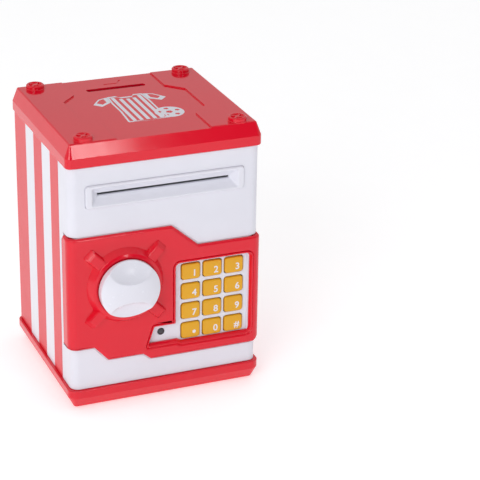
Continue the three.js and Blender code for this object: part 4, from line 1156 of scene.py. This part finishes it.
class COINBANK_OT_lid(bpy.types.Operator):
    """The lid, with its sunk field, coin slot and a row of studs."""

    bl_idname = "coin_bank.lid"
    bl_label = "Lid"

    def execute(self, context):
        build_lid()
        return {"FINISHED"}


class COINBANK_OT_lid_print(bpy.types.Operator):
    """A plain striped shirt and a plain ball, printed in white on the lid."""

    bl_idname = "coin_bank.lid_print"
    bl_label = "Print on the lid"

    def execute(self, context):
        build_print()
        return {"FINISHED"}


class COINBANK_OT_front(bpy.types.Operator):
    """The white front: outer skin round the door's seat, inner column, note slot and hinge knuckles."""

    bl_idname = "coin_bank.front"
    bl_label = "Front"

    def execute(self, context):
        build_front()
        return {"FINISHED"}


class COINBANK_OT_door(bpy.types.Operator):
    """The red door skin with its wrapped sides, the sloped lip round the keypad and the hinge barrels."""

    bl_idname = "coin_bank.door"
    bl_label = "Door"

    def execute(self, context):
        build_door()
        return {"FINISHED"}


class COINBANK_OT_boss(bpy.types.Operator):
    """The conical ring behind the knob and the four lugs that run out from it."""

    bl_idname = "coin_bank.boss"
    bl_label = "Knob's boss"

    def execute(self, context):
        build_boss()
        return {"FINISHED"}


class COINBANK_OT_keypad(bpy.types.Operator):
    """The white plate with a rounded hole for each key, and the status light in its wing."""

    bl_idname = "coin_bank.keypad"
    bl_label = "Keypad plate"

    def execute(self, context):
        build_keypad()
        return {"FINISHED"}


class COINBANK_OT_keys(bpy.types.Operator):
    """Twelve crowned keys with printed figures."""

    bl_idname = "coin_bank.keys"
    bl_label = "Keys"

    def execute(self, context):
        build_keys()
        return {"FINISHED"}


class COINBANK_OT_knob(bpy.types.Operator):
    """The white knob: a dome with two scoops that leave a waisted grip."""

    bl_idname = "coin_bank.knob"
    bl_label = "Knob"

    def execute(self, context):
        build_knob()
        return {"FINISHED"}


class COINBANK_OT_workings(bpy.types.Operator):
    """Finishes and softened edges for the mechanism and the fixings."""

    bl_idname = "coin_bank.workings"
    bl_label = "Workings"

    def execute(self, context):
        build_workings()
        return {"FINISHED"}


STEPS = [
    COINBANK_OT_stage,
    COINBANK_OT_case,
    COINBANK_OT_base,
    COINBANK_OT_fittings,
    COINBANK_OT_lid,
    COINBANK_OT_lid_print,
    COINBANK_OT_front,
    COINBANK_OT_door,
    COINBANK_OT_boss,
    COINBANK_OT_keypad,
    COINBANK_OT_keys,
    COINBANK_OT_knob,
    COINBANK_OT_workings,
]


class COINBANK_PT_panel(bpy.types.Panel):
    """Lists the steps that build the coin bank."""

    bl_label = "Coin Bank"
    bl_idname = "COINBANK_PT_panel"
    bl_space_type = "VIEW_3D"
    bl_region_type = "UI"
    bl_category = "Coin Bank"

    def draw(self, context):
        for step in STEPS:
            self.layout.operator(step.bl_idname)


CLASSES = [BankSizes, BankColours, *STEPS, COINBANK_PT_panel]


def register():
    for each in CLASSES:
        bpy.utils.register_class(each)
    bpy.types.Scene.bank_sizes = bpy.props.PointerProperty(type=BankSizes)
    bpy.types.Scene.bank_colours = bpy.props.PointerProperty(type=BankColours)


def unregister():
    del bpy.types.Scene.bank_sizes
    del bpy.types.Scene.bank_colours
    for each in reversed(CLASSES):
        bpy.utils.unregister_class(each)


def main():
    register()
    for step in STEPS:
        getattr(bpy.ops.coin_bank, step.bl_idname.split(".")[1])()


if __name__ == "__main__":
    main()
